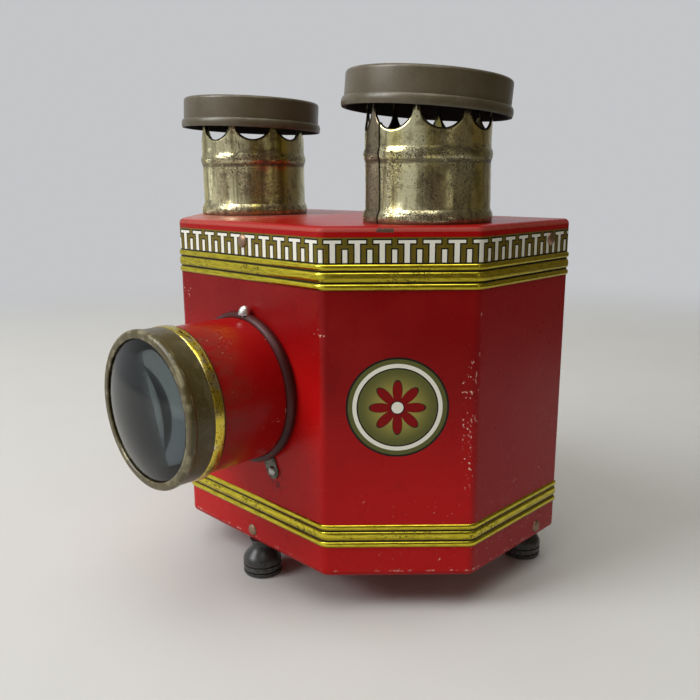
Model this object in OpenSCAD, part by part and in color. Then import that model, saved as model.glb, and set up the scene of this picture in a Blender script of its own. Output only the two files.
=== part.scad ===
// Toy tinplate picture projector (episcope) with two electric lamps.
// Frame: +Z up, lens towards -Y, origin on the standing surface in the middle of the overall plan.
// Inside the modules y = 0 is the front wall's outer face; placed() moves the work to the frame.

/* [Housing] */
// Width of the flat front wall between its two folds
front_w = 104; // [98:1:112]
// How far each slanted wall runs back, and as far out, from the front wall
chamfer = 47.6; // [44:0.2:50]
// Length of each side wall
side_l = 72; // [70:1:82]
// Height of the housing without its feet and chimneys
body_h = 158.6; // [155:0.2:170]
// Thickness of the tinplate
sheet = 0.8; // [0.6:0.1:1]
// Outside radius of the upright folds
fold_r = 6; // [4.5:0.5:8]
// Outside radius of the two folds at the rear corners
rear_r = 2; // [1.6:0.2:4]
// Width of the wall's turned-in rear edges
rear_flange = 12; // [11:0.5:14]
// Height of the top plate's rolled rim above the wall
top_rim = 4.6; // [4:0.2:6]
// Height of the bottom plate's rolled rim below the wall
low_rim = 2.6; // [2.4:0.2:4]
// Rounding of both rims
rim_r = 2.4; // [1.6:0.2:2.6]
// Depth of the plates' flanges inside the wall
flange_h = 11; // [10:0.5:14]
// Clearance between nested sheets, and of a rivet in its hole
fit_gap = 0.1; // [0.05:0.05:0.2]

/* [Embossed bands] */
// Height of the lower band above the housing's bottom
low_band = 14.7; // [13:0.1:18]
// Drop of the upper band's top edge below the housing's top
top_band = 15.7; // [14:0.5:20]
// Height of the two narrow reeds of a band
reed_narrow = 2.7; // [2:0.1:3.2]
// Height of the wide reed between them
reed_wide = 4.2; // [3.4:0.1:5]
// Height of the valleys between reeds
reed_valley = 0.7; // [0.5:0.1:1]
// How far the reeds stand proud
reed_out = 0.8; // [0.4:0.1:1]

/* [Lens] */
// Height of the lens axis above the housing's bottom
lens_h = 80.6; // [76:0.2:83]
// Outside radius of the focusing tube
tube_r = 34; // [32:0.5:34.5]
// Length of tube between the front wall and the bezel's rear edge
tube_show = 40; // [36:1:42]
// Length of tube inside the housing
tube_in = 24; // [20:1:28]
// Length of bezel over the tube, up to the lens's seat
bezel_l = 11; // [9:0.5:14]
// Thickness of the lens at its rim
lens_edge = 3; // [2.5:0.5:4]
// Radius of the lens's convex front
lens_curve = 80; // [70:5:110]
// How far the bezel's lip reaches over the lens
lip_in = 2.5; // [2:0.25:3]
// How far the bezel's front bead and rear ring stand out
bezel_bead = 0.6; // [0.4:0.1:1.2]
// Length of the collar's sleeve inside the housing
collar_in = 14; // [10:1:16]
// Width of the collar's bead along the axis
collar_bead = 5; // [4.6:0.2:6]
// How far the collar's bead stands out from its sleeve
collar_out = 1.6; // [1.4:0.1:3]
// Radial running clearance of the focusing tube
slide_gap = 0.25; // [0.2:0.05:0.35]
// Width of the collar's two fixing ears
ear_w = 8; // [7:0.5:9]
// Reach of each ear past the collar's sleeve, to its rivet
ear_l = 7; // [6.5:0.5:8]
// Angle of each ear below the horizontal
ear_turn = 65; // [60:1:70]

/* [Chimneys] */
// Outside radius of a chimney
stack_r = 28; // [26:0.5:29]
// Distance of a chimney's axis from the side wall
stack_side = 37.5; // [36.5:0.5:39]
// Distance of a chimney's axis from the front wall
stack_front = 57.3; // [56:0.5:59]
// Length of chimney below the top plate
spigot = 9; // [8:0.5:11]
// Running clearance of a chimney in its neck
stack_gap = 0.25; // [0.2:0.05:0.4]
// Height of the rolled beads
bead_h = 6; // [5:0.5:7]
// How far the foot bead stands out
foot_bead = 1.3; // [1.1:0.1:1.6]
// How far the middle bead stands out
mid_bead = 0.8; // [0.6:0.1:1.2]
// Height of the middle bead's lower edge above the top plate
mid_bead_z = 26.2; // [24:0.5:28]
// Height of the scallops' lowest points above the top plate
crown_z = 39.3; // [37:0.5:41]
// Radius of the scallops between the crown's points
scallop_r = 9.6; // [8.5:0.1:9.6]
// Number of points in the crown
points_n = 8; // [7:1:8]
// Direction of the first crown point, from +X
crown_turn = -16; // [-22:1:22]
// How far the lapped seam stands out
seam_out = 0.45; // [0.3:0.05:0.6]
// Width of the lapped seam round the chimney, in degrees
seam_deg = 24; // [8:1:26]
// Outside radius of a cap's skirt
cap_r = 36.6; // [36:0.2:37]
// Height of a cap
cap_h = 15.4; // [14:0.2:18]
// How far the bead on a cap's lower edge stands out
cap_bead = 1.2; // [0.9:0.1:1.5]
// Height of that bead
cap_bead_h = 4.4; // [3.6:0.2:5]
// Height of the left cap's lower edge above the top plate
cap_rise_left = 45; // [44:0.5:49]
// Height of the right cap's lower edge above the top plate
cap_rise_right = 47; // [44:0.5:49]
// Lean of the left cap, in degrees
lean_left = 2.5; // [0:0.5:5]
// Lean of the right cap, in degrees
lean_right = 4.5; // [0:0.5:5]

/* [Lamps] */
// Radius of a lamp socket
socket_r = 16.5; // [15.5:0.5:18]
// Height of a lamp socket
socket_h = 34; // [30:1:38]
// Radius of the socket's foot flange
socket_flange = 21; // [20.5:0.5:22]
// Radius of the lamp's screw shell
lamp_base_r = 13.1; // [12.6:0.1:13.3]
// Radius of the lamp's glass
bulb_r = 24; // [22:0.5:25]
// Height of the glass's widest place above the floor
bulb_z = 80; // [76:1:86]
// Wall of the glass
glass_t = 0.8; // [0.6:0.1:1]
// Height of a reflector
reflector_h = 118; // [100:2:124]
// How far round the lamp a reflector reaches, in degrees
reflector_deg = 150; // [130:2:152]

/* [Picture door] */
// Width of the picture opening in the back
picture_w = 132; // [126:1:134]
// Height of the picture opening
picture_h = 128; // [124:1:130]
// How far the door laps over the opening's edges
door_lap = 7; // [6:0.5:7.5]
// Depth of the door's turned edge
door_d = 4.5; // [4.2:0.1:5.5]
// Gap between the closed door and the back
door_gap = 0.3; // [0.3:0.05:0.4]
// Height of the card that the rails take
card_h = 89; // [84:1:92]
// Width of the slot for the card's edge
card_slot = 1.2; // [1:0.1:1.4]
// Length of the card rails
rail_l = 126; // [110:1:128]
// Length of the door's pull knob
knob_l = 15; // [12:0.5:18]
// Radius of the pull knob
knob_r = 7.5; // [6.5:0.5:8]
// Radius of the hinge pin
pin_r = 1.2; // [1:0.1:1.3]
// Running clearance of the hinge pin
pin_gap = 0.05; // [0.03:0.01:0.08]
// Length of each of the hinge's five knuckles
knuckle_l = 22; // [18:1:23]
// Width of the hinge leaf on the door
leaf_w = 14; // [12:0.5:16]

/* [Feet and inlet] */
// Height of a foot
foot_h = 18.4; // [17:0.2:24]
// Radius of a foot
foot_r = 9.6; // [9:0.2:10.4]
// Radius of a foot's neck
neck_r = 5; // [4.4:0.2:5.2]
// Distance of a foot's axis from the front or rear wall
foot_inset = 5.5; // [5.2:0.1:11]
// Distance of a rear foot's axis from the side wall
foot_side = 15; // [10:0.5:20]
// Radius of the cord inlet's bore
inlet_r = 3.6; // [3:0.1:3.8]
// Radius of the inlet bushing's flanges
inlet_flange = 5.4; // [5.2:0.1:5.6]
// Height of the inlet above the housing's bottom
inlet_z = 34; // [33:1:42]

/* [Fasteners] */
// Radius of the wall rivets' heads
rivet_r = 3; // [2.6:0.1:3.2]
// Radius of all rivet and screw shanks
shank_r = 1.4; // [1.2:0.1:1.5]
// Radius of the small rivets' and screws' heads
small_r = 2.3; // [2.2:0.1:2.6]

/* [Hidden] */
$fn = 96;

// Steps of an arc in the folded outlines, and the smallest radius left in an inset corner
arc_steps = 4;
least_r = 0.2;
// A cut's margin past the face it leaves
past = 1;

// Picture door and what stands beside it on the back
door_w = picture_w + 2 * door_lap;
door_h = picture_h + 2 * door_lap;
leaf_t = 0.8;
hinge_r = (door_gap + door_d) / 2;
hinge_free = 0.5;
hinge_reach = 2 * hinge_r + leaf_t + hinge_free;
door_room = hinge_reach + 2 * (small_r + past) + past + rear_flange;

// The housing, wider or taller than its own sizes where a large door needs it
body_w = max(front_w + 2 * chamfer, door_w + 2 * door_room);
house_h = max(body_h, door_h + 2 * (max(top_rim, low_rim) + door_gap));
face_w = body_w - 2 * chamfer;
body_d = chamfer + side_l;
floor_z = foot_h + sheet;
top_z = foot_h + house_h;
wall_low = foot_h + low_rim;
wall_top = top_z - top_rim;
wall_h = wall_top - wall_low;
// Inset of a plate's flange behind the wall, and the outer face of the back panel
flange_in = sheet + fit_gap;
back_y = body_d - sheet;
back_half = body_w / 2 - fold_r;

// Rivet rows through the plates' flanges
rivet_h = 1.3;
rivet_tail = 0.8;
top_rivet_drop = 4.1;
low_rivet_rise = 3.3;
side_rivet_in = 17.5;
top_rivet_z = wall_top - top_rivet_drop;
low_rivet_z = wall_low + low_rivet_rise;
side_rivet_y = body_d - side_rivet_in;
back_rivet_x = body_w / 2 - rear_flange + (rear_flange - fold_r) / 2;
back_rivet_gap = 38;

// Lens parts, along y
lens_z = foot_h + lens_h;
seat_y = -(tube_show + bezel_l);
rim_y = seat_y - lens_edge;
lens_gap = 0.2;
lens_r = tube_r - lens_gap;
lip_r = lens_r - lip_in;
function sag(r) = lens_curve - sqrt(lens_curve * lens_curve - r * r);
apex_y = rim_y - sag(lens_r);
lip_gap = 0.05;
lip_y = rim_y - (sag(lens_r) - sag(lip_r)) - lip_gap;
bezel_front = lip_y - sheet;
bezel_in = tube_r + fit_gap;
bezel_out = bezel_in + sheet;
bezel_round = 1.8;
bezel_bead_l = 5;
bezel_ring_l = 3.6;
sleeve_in = tube_r + slide_gap;
sleeve_out = sleeve_in + sheet;
bead_out = sleeve_out + collar_out;
ear_r = sleeve_out + ear_l;
screw_head_r = 2.9;
screw_head_h = 4.2;
screw_sink = 0.5;
screw_seat = bead_out - screw_sink;
screw_clear = 0.4;
screw_y = -(screw_head_r + screw_clear);
screw_turn = 6;

// Chimneys and their lamps stand on the same axes
stack_x = body_w / 2 - stack_side;
stack_in = stack_r - sheet;
neck_in = stack_r + stack_gap;
// Room from a chimney's axis to the slanted wall, for its neck and the top plate's flange
neck_room = neck_in + sheet + flange_in + sheet + fit_gap;
stack_y = max(stack_front, stack_x - face_w / 2 + sqrt(2) * neck_room);
neck_drop = 7;
bead_steps = 6;
flat_start = 40;
scallop_z = crown_z + scallop_r;
// Height that the crown's points are cut from, past both leaning caps
crown_spare = 4;
crown_top = max(cap_rise_left, cap_rise_right) + cap_h + crown_spare;
lean_dir = 45;
seam_right = -122;
seam_left = 60;
cap_round = 1.6;
cap_press_r = 22;
cap_press = 0.9;

// Lamps
socket_floor = 8;
socket_gap = 0.3;
socket_flange_h = 4;
socket_screw_r = (socket_flange + socket_r) / 2;
lamp_wall = 0.5;
lamp_top = socket_h + 3;
bulb_neck = lamp_base_r - lamp_wall - fit_gap;
bulb_tuck = 8;
slant_gap = (face_w / 2 - stack_x + stack_y) / sqrt(2);
reflector_gap = 1.6;
reflector_r = min(slant_gap, stack_side) - flange_in - sheet - reflector_gap;
reflector_foot = 6;
reflector_rivet_share = 1 / 3;
vent_r = 3;
vent_n = 6;
vent_step = 30;
vent_edge = 2;

// Door's place, hinge and rails
door_z = foot_h + house_h / 2;
door_out = back_y + door_gap + door_d;
door_in = door_out - sheet;
door_r = 4;
door_edge_r = 1.6;
hinge_y = back_y + leaf_t / 2 + hinge_r;
hinge_x = door_w / 2 + hinge_r + leaf_t;
knuckle_gap = 0.4;
hinge_l = 5 * knuckle_l + 4 * knuckle_gap;
pin_head = 1;
pin_head_r = hinge_r - pin_gap - hinge_free;
leaf_end = body_w / 2 - rear_flange - past;
rail_t = 0.6;
rail_lip = 5;
rail_back = 8;
catch_t = 0.5;
catch_gap = 0.8;
catch_in = 9;
catch_w = 10;
catch_foot = 11;
knob_in = 6;
knob_foot_r = 4.4;
knob_waist_r = 3.2;
knob_waist_l = 3.75;
knob_swell = 60;
knob_screw_l = 7.5;
knob_x = -(picture_w / 2 - knob_in);
// The inlet is midway between the door's edge and the wall's rear flange
inlet_x = -(door_w / 2 + body_w / 2 - rear_flange) / 2;

// Feet: one under the front wall, two at the rear corners
foot_ring = 2.2;
foot_groove = 0.5;
foot_edge = 1.4;
foot_neck_l = 2.6;
foot_top = 6;
foot_screw_l = 13;
rear_foot_x = body_w / 2 - foot_side;
rear_foot_y = body_d - foot_inset;
foot_places = [[0, foot_inset], [-rear_foot_x, rear_foot_y], [rear_foot_x, rear_foot_y]];

// Overall length along y, for the frame's origin
mid_y = (apex_y + door_out + knob_l) / 2;

function dir(a) = [cos(a), sin(a)];
function backwards(list) = [for (i = [len(list) - 1 : -1 : 0]) list[i]];

// Outline corners and the outward normals of the edges between them, anticlockwise
plan_turns = [90, 180, 225, 270, 315, 360, 450];
function plan(inset) = [
    [-body_w / 2, body_d - inset], [-body_w / 2, chamfer], [-face_w / 2, 0],
    [face_w / 2, 0], [body_w / 2, chamfer], [body_w / 2, body_d - inset]
];
plan_radii = [rear_r, fold_r, fold_r, fold_r, fold_r, rear_r];
box_turns = [180, 270, 360, 450, 540];
function box(w, h) = [[-w, -h] / 2, [w, -h] / 2, [w, h] / 2, [-w, h] / 2];

// How far a corner's bisector runs for each millimetre of offset
function miter(a, b) = (dir(a) + dir(b)) / (1 + dir(a) * dir(b));
function round_corner(p, a, b, r, d) =
    let (rr = max(r + d, least_r))
    [for (i = [0 : arc_steps]) p + (d - rr) * miter(a, b) + rr * dir(a + (b - a) * i / arc_steps)];
function outline(corners, turns, radii, d) =
    [for (i = [0 : len(corners) - 1]) each round_corner(corners[i], turns[i], turns[i + 1], radii[i], d)];

// A solid skin through equal rings of plan points at the given heights, closed at both ends
module skin(rings, heights) {
    m = len(rings[0]);
    n = len(rings);
    corners = [for (i = [0 : n - 1]) for (p = rings[i]) [p.x, p.y, heights[i]]];
    sides = [for (i = [0 : n - 2]) for (j = [0 : m - 1])
        [i * m + j, (i + 1) * m + j, (i + 1) * m + (j + 1) % m, i * m + (j + 1) % m]];
    ends = [[for (j = [0 : m - 1]) j], [for (j = [m - 1 : -1 : 0]) (n - 1) * m + j]];
    polyhedron(corners, concat(sides, ends));
}

// Quarter round from a rim's side, at drop r, to its face, as [inset, drop]
function rim_round(r) = [for (a = [0 : 30 : 90]) [r * (cos(a) - 1), r * (1 - sin(a))]];

// Drawn plate, face up at z = 0: rolled rim in line with the wall, flange inside the wall
module drawn_plate(rim) {
    inner = [[-flange_in - sheet, sheet], [-flange_in - sheet, rim + flange_h],
        [-flange_in, rim + flange_h], [-flange_in, rim]];
    outer = concat([[0, rim]], rim_round(rim_r));
    rings = concat(
        [for (q = inner) outline(plan(sheet), plan_turns, plan_radii, q.x)],
        [for (q = outer) outline(plan(0), plan_turns, plan_radii, q.x)]);
    skin(rings, [for (q = concat(inner, outer)) -q.y]);
}

// One reed's half-round section from height z, as [offset, height]
function reed(z, h) = [for (a = [0 : 45 : 180]) [reed_out * sin(a), z + h * (1 - cos(a)) / 2]];
band_h = 2 * reed_narrow + reed_wide + 2 * reed_valley;
function band(z) = concat(
    reed(z, reed_narrow),
    reed(z + reed_narrow + reed_valley, reed_wide),
    reed(z + reed_narrow + 2 * reed_valley + reed_wide, reed_narrow));

// Strip wrapped round the front and sides, its ends turned in at the back
module wrapped_strip(face) {
    corners = plan(0);
    ends = [for (s = [-1, 1]) [[s * (body_w / 2 - rear_flange), body_d - rear_r], 90, rear_r]];
    folds = [for (i = [0 : len(corners) - 1]) for (k = [0 : arc_steps]) [
        corners[i] - plan_radii[i] * miter(plan_turns[i], plan_turns[i + 1]),
        plan_turns[i] + (plan_turns[i + 1] - plan_turns[i]) * k / arc_steps,
        plan_radii[i]]];
    stations = concat([ends[0]], folds, [ends[1]]);
    section = concat(face, [for (q = backwards(face)) [q.x - sheet, q.y]]);
    m = len(section);
    n = len(stations);
    at = [for (s = stations) for (q = section)
        let (p = s[0] + (s[2] + q.x) * dir(s[1])) [p.x, p.y, q.y]];
    sides = [for (i = [0 : n - 2]) for (j = [0 : m - 1])
        [i * m + j, i * m + (j + 1) % m, (i + 1) * m + (j + 1) % m, (i + 1) * m + j]];
    caps = [for (j = [0 : len(face) - 2]) each [
        [m - 1 - j, m - 2 - j, j + 1, j],
        [for (c = [j, j + 1, m - 2 - j, m - 1 - j]) (n - 1) * m + c]]];
    polyhedron(at, concat(sides, caps));
}

module placed() { translate([0, -mid_y, 0]) children(); }

// Turns +Z to the lens axis, pointing into the housing; the drawing's +Y then points down
module on_lens_axis() { translate([0, 0, lens_z]) rotate([-90, 0, 0]) children(); }

module on_stack(side) { translate([side * stack_x, stack_y, top_z]) children(); }
module on_floor(side) { translate([side * stack_x, stack_y, floor_z]) children(); }

// Turns +Z to point out of the back
module on_back(x, y, z) { translate([x, y, z]) rotate([-90, 0, 0]) children(); }

// Domed fastener: head on z = 0, shank down through the grip, flat tail below it
module rivet(head, height, grip, tail) {
    rotate_extrude() polygon(concat(
        [for (a = [0 : 15 : 90]) [head * sin(a), height * cos(a)]],
        [[shank_r, 0], [shank_r, -grip], [tail, -grip]],
        [[tail, -grip - rivet_tail], [0, -grip - rivet_tail]]));
}
// Domed screw: head on z = 0, shank l long below it
module screw(head, height, l) {
    rotate_extrude() polygon(concat(
        [for (a = [0 : 15 : 90]) [head * sin(a), height * cos(a)]],
        [[shank_r, 0], [shank_r, -l], [0, -l]]));
}
module shank_hole(l) { translate([0, 0, -l]) cylinder(r = shank_r + fit_gap, h = l + past); }

// Places of the six wall rivets, +Z out of the wall
module at_wall_rivets(heights) {
    for (z = heights) {
        translate([0, 0, z]) rotate([90, 0, 0]) children();
        for (s = [-1, 1]) translate([s * body_w / 2, side_rivet_y, z]) rotate([0, s * 90, 0]) children();
    }
}
module at_back_rivets() {
    for (s = [-1, 1]) for (k = [-1 : 1])
        on_back(s * back_rivet_x, body_d, door_z + k * back_rivet_gap) children();
}
// Places of the ears' rivets, +Z out of the front wall
module at_ears() {
    for (a = [ear_turn, 180 - ear_turn])
        on_lens_axis() rotate([0, 0, a]) translate([ear_r, 0, -sheet]) mirror([0, 0, 1]) children();
}
module at_leaf_rivets_body() {
    x = (hinge_x + hinge_r + leaf_end) / 2;
    for (k = [0, 2, 4]) on_back(x, back_y + leaf_t, knuckle_z(k) + knuckle_l / 2) children();
}
module at_leaf_rivets_door() {
    for (k = [1 : 3])
        on_back(door_w / 2 - leaf_w / 2, door_out + leaf_t, knuckle_z(k) + knuckle_l / 2) children();
}
module at_socket_screws() {
    for (s = [-1, 1]) for (a = [0, 180])
        on_floor(s) rotate([0, 0, a]) translate([socket_screw_r, 0, socket_flange_h]) children();
}
module at_reflector_rivets() {
    for (s = [-1, 1]) for (a = [-1, 1])
        on_floor(s) rotate([0, 0, reflector_mid(s) + a * reflector_rivet_share * reflector_deg])
            translate([reflector_r - reflector_foot / 2, 0, sheet]) children();
}
module at_feet(z) { for (p = foot_places) translate([p.x, p.y, z]) children(); }

module body_wall() color("firebrick") placed() difference() {
    wrapped_strip(concat(
        [[0, wall_low]], band(foot_h + low_band), band(top_z - top_band - band_h), [[0, wall_top]]));
    on_lens_axis() translate([0, 0, -past]) cylinder(r = sleeve_out + fit_gap, h = sheet + 2 * past);
    at_wall_rivets([low_rivet_z, top_rivet_z]) shank_hole(2 * sheet);
    at_back_rivets() shank_hole(2 * sheet);
    at_ears() shank_hole(3 * sheet);
}

module top_plate() color("firebrick") placed() difference() {
    translate([0, 0, top_z]) drawn_plate(top_rim);
    for (s = [-1, 1]) on_stack(s) translate([0, 0, -sheet - past])
        cylinder(r = neck_in, h = sheet + 2 * past);
    at_wall_rivets([top_rivet_z]) shank_hole(4 * sheet);
}

// Sleeve soldered under the top plate, which steadies a chimney's spigot
module stack_neck(side) on_stack(side)
    rotate_extrude() translate([neck_in, -neck_drop]) square([sheet, neck_drop - sheet]);
module stack_neck_left() color("silver") placed() stack_neck(-1);
module stack_neck_right() color("silver") placed() stack_neck(1);

module bottom_plate() color("firebrick") placed() difference() {
    translate([0, 0, foot_h]) mirror([0, 0, 1]) drawn_plate(low_rim);
    at_wall_rivets([low_rivet_z]) shank_hole(4 * sheet);
    at_feet(floor_z) shank_hole(2 * sheet);
    at_socket_screws() shank_hole(socket_flange_h + 2 * sheet);
    at_reflector_rivets() shank_hole(3 * sheet);
    for (s = [-1, 1]) for (k = [0 : vent_n - 1])
        on_floor(s) rotate([0, 0, reflector_mid(s) + reflector_deg / 2 + (k + 1) * vent_step])
            translate([socket_flange + vent_r + vent_edge, 0, -sheet - past])
                cylinder(r = vent_r, h = sheet + 2 * past);
}

module back_panel() color("firebrick") placed() difference() {
    translate([-back_half, back_y - sheet, wall_low]) cube([2 * back_half, sheet, wall_h]);
    translate([-picture_w / 2, back_y - sheet - past, door_z - picture_h / 2])
        cube([picture_w, sheet + 2 * past, picture_h]);
    at_back_rivets() shank_hole(3 * sheet);
    at_leaf_rivets_body() shank_hole(3 * sheet);
    on_back(inlet_x, back_y, foot_h + inlet_z) translate([0, 0, -sheet - past])
        cylinder(r = inlet_r + sheet + fit_gap, h = sheet + 2 * past);
}

module wall_rivets() color("peru") placed()
    at_wall_rivets([low_rivet_z, top_rivet_z]) rivet(rivet_r, rivet_h, sheet + flange_in, small_r);
module back_rivets() color("peru") placed() at_back_rivets() rivet(small_r, rivet_h, 2 * sheet, small_r);

module lens_collar() color("saddlebrown") placed() {
    bead = [for (a = [0 : 15 : 150])
        [sleeve_in + (bead_out - sleeve_in) * sin(a), -collar_bead * (1 + cos(a)) / 2]];
    difference() {
        on_lens_axis() union() {
            rotate_extrude() polygon(concat(bead, [
                [bead[len(bead) - 1].x, 0], [sleeve_out, 0],
                [sleeve_out, collar_in], [sleeve_in, collar_in]]));
            for (a = [ear_turn, 180 - ear_turn]) rotate([0, 0, a]) translate([0, 0, -sheet]) {
                translate([sleeve_out, -ear_w / 2, 0]) cube([ear_l, ear_w, sheet]);
                translate([ear_r, 0, 0]) cylinder(d = ear_w, h = sheet);
            }
        }
        at_ears() shank_hole(past + sheet);
        at_collar_screw() shank_hole(screw_seat - sleeve_in + past);
        at_collar_screw() cylinder(r = screw_head_r + fit_gap, h = screw_head_h + past);
    }
}
// The guide screw's seat on top of the collar's bead, +Z away from the axis
module at_collar_screw() {
    translate([0, screw_y, lens_z]) rotate([0, screw_turn, 0]) translate([0, 0, screw_seat]) children();
}
module collar_screw() color("silver") placed()
    at_collar_screw() screw(screw_head_r, screw_head_h, screw_seat - sleeve_in);
module collar_rivets() color("silver") placed() at_ears() rivet(small_r, rivet_h, 2 * sheet, small_r);

module lens_tube() color("firebrick") placed() on_lens_axis()
    rotate_extrude() translate([tube_r - sheet, seat_y]) square([sheet, tube_in - seat_y]);

module lens_bezel() color("darkolivegreen") placed() on_lens_axis() {
    bead_r = bezel_out + bezel_bead;
    nose = [for (a = [90 : -30 : 0])
        [bead_r - bezel_round + bezel_round * cos(a), bezel_front + bezel_round - bezel_round * sin(a)]];
    ring = [for (a = [0 : 30 : 180])
        [bezel_out + bezel_bead * sin(a), -tube_show - bezel_ring_l * (1 + cos(a)) / 2]];
    rotate_extrude() polygon(concat(
        [[bezel_in, -tube_show], [bezel_in, lip_y], [lip_r, lip_y], [lip_r + sheet / 2, bezel_front]],
        nose,
        [[bead_r, bezel_front + bezel_bead_l - bezel_bead], [bezel_out, bezel_front + bezel_bead_l]],
        ring));
}

// Flat-backed lens with a convex front
module lens() color("lightcyan") placed() on_lens_axis() intersection() {
    translate([0, 0, apex_y + lens_curve]) sphere(r = lens_curve);
    translate([0, 0, apex_y]) cylinder(r = lens_r, h = seat_y - apex_y);
}

// Half-round bead of height h from z, starting flat where from is above 0, as [radius, height]
function bead(r, z, out, h, from) = [for (k = [0 : bead_steps])
    let (a = from + (180 - from) * k / bead_steps)
    [r + out * sin(a), z + h * (cos(from) - cos(a)) / (1 + cos(from))]];
function stack_outer(out) = [for (q = concat(
    bead(stack_r, 0, foot_bead, bead_h, flat_start),
    bead(stack_r, mid_bead_z, mid_bead, bead_h, 0),
    [[stack_r, crown_top]])) [q.x + out, q.y]];

// Turns a cap about the middle of its underside, so that it drops towards lean_dir
module leaning(rise, lean) {
    translate([0, 0, rise + cap_h - sheet])
        rotate([0, 0, lean_dir]) rotate([0, lean, 0]) rotate([0, 0, -lean_dir]) children();
}

// Chimney with rolled beads, a lapped seam and a scalloped crown that carries the cap
module chimney(side, rise, lean, seam) {
    on_stack(side) difference() {
        union() {
            rotate_extrude() polygon(concat(
                [[stack_r, -spigot], [stack_r, 0]], stack_outer(0),
                [[stack_in, crown_top], [stack_in, -spigot]]));
            rotate([0, 0, seam]) rotate_extrude(angle = seam_deg) polygon(concat(
                stack_outer(seam_out), [[stack_r - sheet / 2, crown_top], [stack_r - sheet / 2, 0]]));
        }
        for (k = [0 : points_n - 1])
            rotate([0, 0, crown_turn + (k + 0.5) * 360 / points_n]) translate([0, 0, scallop_z]) {
                rotate([0, 90, 0]) cylinder(r = scallop_r, h = 2 * stack_r);
                translate([0, -scallop_r, 0]) cube([2 * stack_r, 2 * scallop_r, crown_top]);
            }
        leaning(rise, lean) cylinder(r = 2 * stack_r, h = crown_top);
    }
}
module chimney_left() color("goldenrod") placed() chimney(-1, cap_rise_left, lean_left, seam_left);
module chimney_right() color("goldenrod") placed() chimney(1, cap_rise_right, lean_right, seam_right);

// Bead-edged cap with a shallow pressed panel, its underside's middle at the origin
module cap() {
    low = sheet - cap_h;
    edge = bead(cap_r, low, cap_bead, cap_bead_h, flat_start);
    shoulder = [for (a = [0 : 30 : 90])
        [cap_r - cap_round * (1 - cos(a)), sheet - cap_round * (1 - sin(a))]];
    rotate_extrude() polygon(concat(
        [[cap_r - sheet, low]], edge, shoulder,
        [[cap_press_r + cap_press, sheet], [cap_press_r, sheet + cap_press], [0, sheet + cap_press],
            [0, cap_press], [cap_press_r - sheet / 2, cap_press], [cap_press_r + cap_press - sheet / 2, 0],
            [cap_r - sheet, 0]]));
}
module chimney_cap_left() color("dimgray") placed() on_stack(-1) leaning(cap_rise_left, lean_left) cap();
module chimney_cap_right() color("dimgray") placed() on_stack(1) leaning(cap_rise_right, lean_right) cap();

module socket(side) difference() {
    on_floor(side) difference() {
        rotate_extrude() polygon([
            [0, 0], [socket_flange, 0],
            [socket_flange, socket_flange_h - past], [socket_flange - past, socket_flange_h],
            [socket_r + past, socket_flange_h], [socket_r, socket_flange_h + past],
            [socket_r, socket_h - past], [socket_r - past, socket_h], [0, socket_h]]);
        translate([0, 0, socket_floor]) cylinder(r = lamp_base_r + socket_gap, h = socket_h);
    }
    at_socket_screws() shank_hole(socket_flange_h + past);
    at_socket_screws() cylinder(r = small_r + fit_gap, h = socket_h);
}
module lamp_socket_left() color("ivory") placed() socket(-1);
module lamp_socket_right() color("ivory") placed() socket(1);
module socket_screws() color("silver") placed()
    at_socket_screws() rivet(small_r, rivet_h, socket_flange_h + sheet, small_r);

// Lamp's screw shell, standing on the socket's floor contact
module lamp_base(side) on_floor(side) {
    contact_r = 4.5;
    contact_h = 3;
    rotate_extrude() polygon([
        [0, socket_floor], [contact_r, socket_floor],
        [lamp_base_r, socket_floor + contact_h], [lamp_base_r, lamp_top],
        [lamp_base_r - lamp_wall, lamp_top], [lamp_base_r - lamp_wall, socket_floor + contact_h + lamp_wall],
        [contact_r, socket_floor + 2 * lamp_wall], [0, socket_floor + 2 * lamp_wall]]);
}
module lamp_base_left() color("gold") placed() lamp_base(-1);
module lamp_base_right() color("gold") placed() lamp_base(1);

// Pear-shaped outline of the lamp's glass at a depth below its surface
function pear(d) =
    let (r = bulb_r - d, neck = bulb_neck - d, join = r * cos(45), start = bulb_z - r * sin(45))
    let (flare = 2 * (join - neck))
    concat(
        [[neck, lamp_top - bulb_tuck]],
        [for (t = [0 : 0.25 : 0.75]) [neck + (join - neck) * t * t, start - flare * (1 - t)]],
        [for (a = [-45 : 15 : 90]) [r * cos(a), bulb_z + r * sin(a)]]);
module lamp_glass(side) on_floor(side) rotate_extrude() polygon(concat(pear(0), backwards(pear(glass_t))));
module lamp_glass_left() color("azure") placed() lamp_glass(-1);
module lamp_glass_right() color("azure") placed() lamp_glass(1);

// Reflector behind each lamp, facing the picture opening, on a turned-in foot
function reflector_mid(side) = side > 0 ? -45 : -135;
module reflector(side) difference() {
    on_floor(side) rotate([0, 0, reflector_mid(side) - reflector_deg / 2])
        rotate_extrude(angle = reflector_deg) polygon([
            [reflector_r - reflector_foot, 0], [reflector_r + sheet, 0], [reflector_r + sheet, reflector_h],
            [reflector_r, reflector_h], [reflector_r, sheet], [reflector_r - reflector_foot, sheet]]);
    at_reflector_rivets() shank_hole(sheet + past);
}
module reflector_left() color("whitesmoke") placed() reflector(-1);
module reflector_right() color("whitesmoke") placed() reflector(1);
module reflector_rivets() color("silver") placed()
    at_reflector_rivets() rivet(small_r, rivet_h, 2 * sheet, small_r);

// Door: a shallow pan, its turned edge towards the back panel
module door_panel() color("firebrick") placed() difference() {
    section = concat(
        [[-sheet, sheet], [-sheet, door_d], [0, door_d]], rim_round(door_edge_r));
    radii = [for (i = [0 : 3]) door_r];
    on_back(0, door_out, door_z) skin(
        [for (q = section) outline(box(door_w, door_h), box_turns, radii, q.x)], [for (q = section) -q.y]);
    at_leaf_rivets_door() shank_hole(3 * sheet);
    on_back(knob_x, door_out, door_z) shank_hole(2 * sheet);
}

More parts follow.
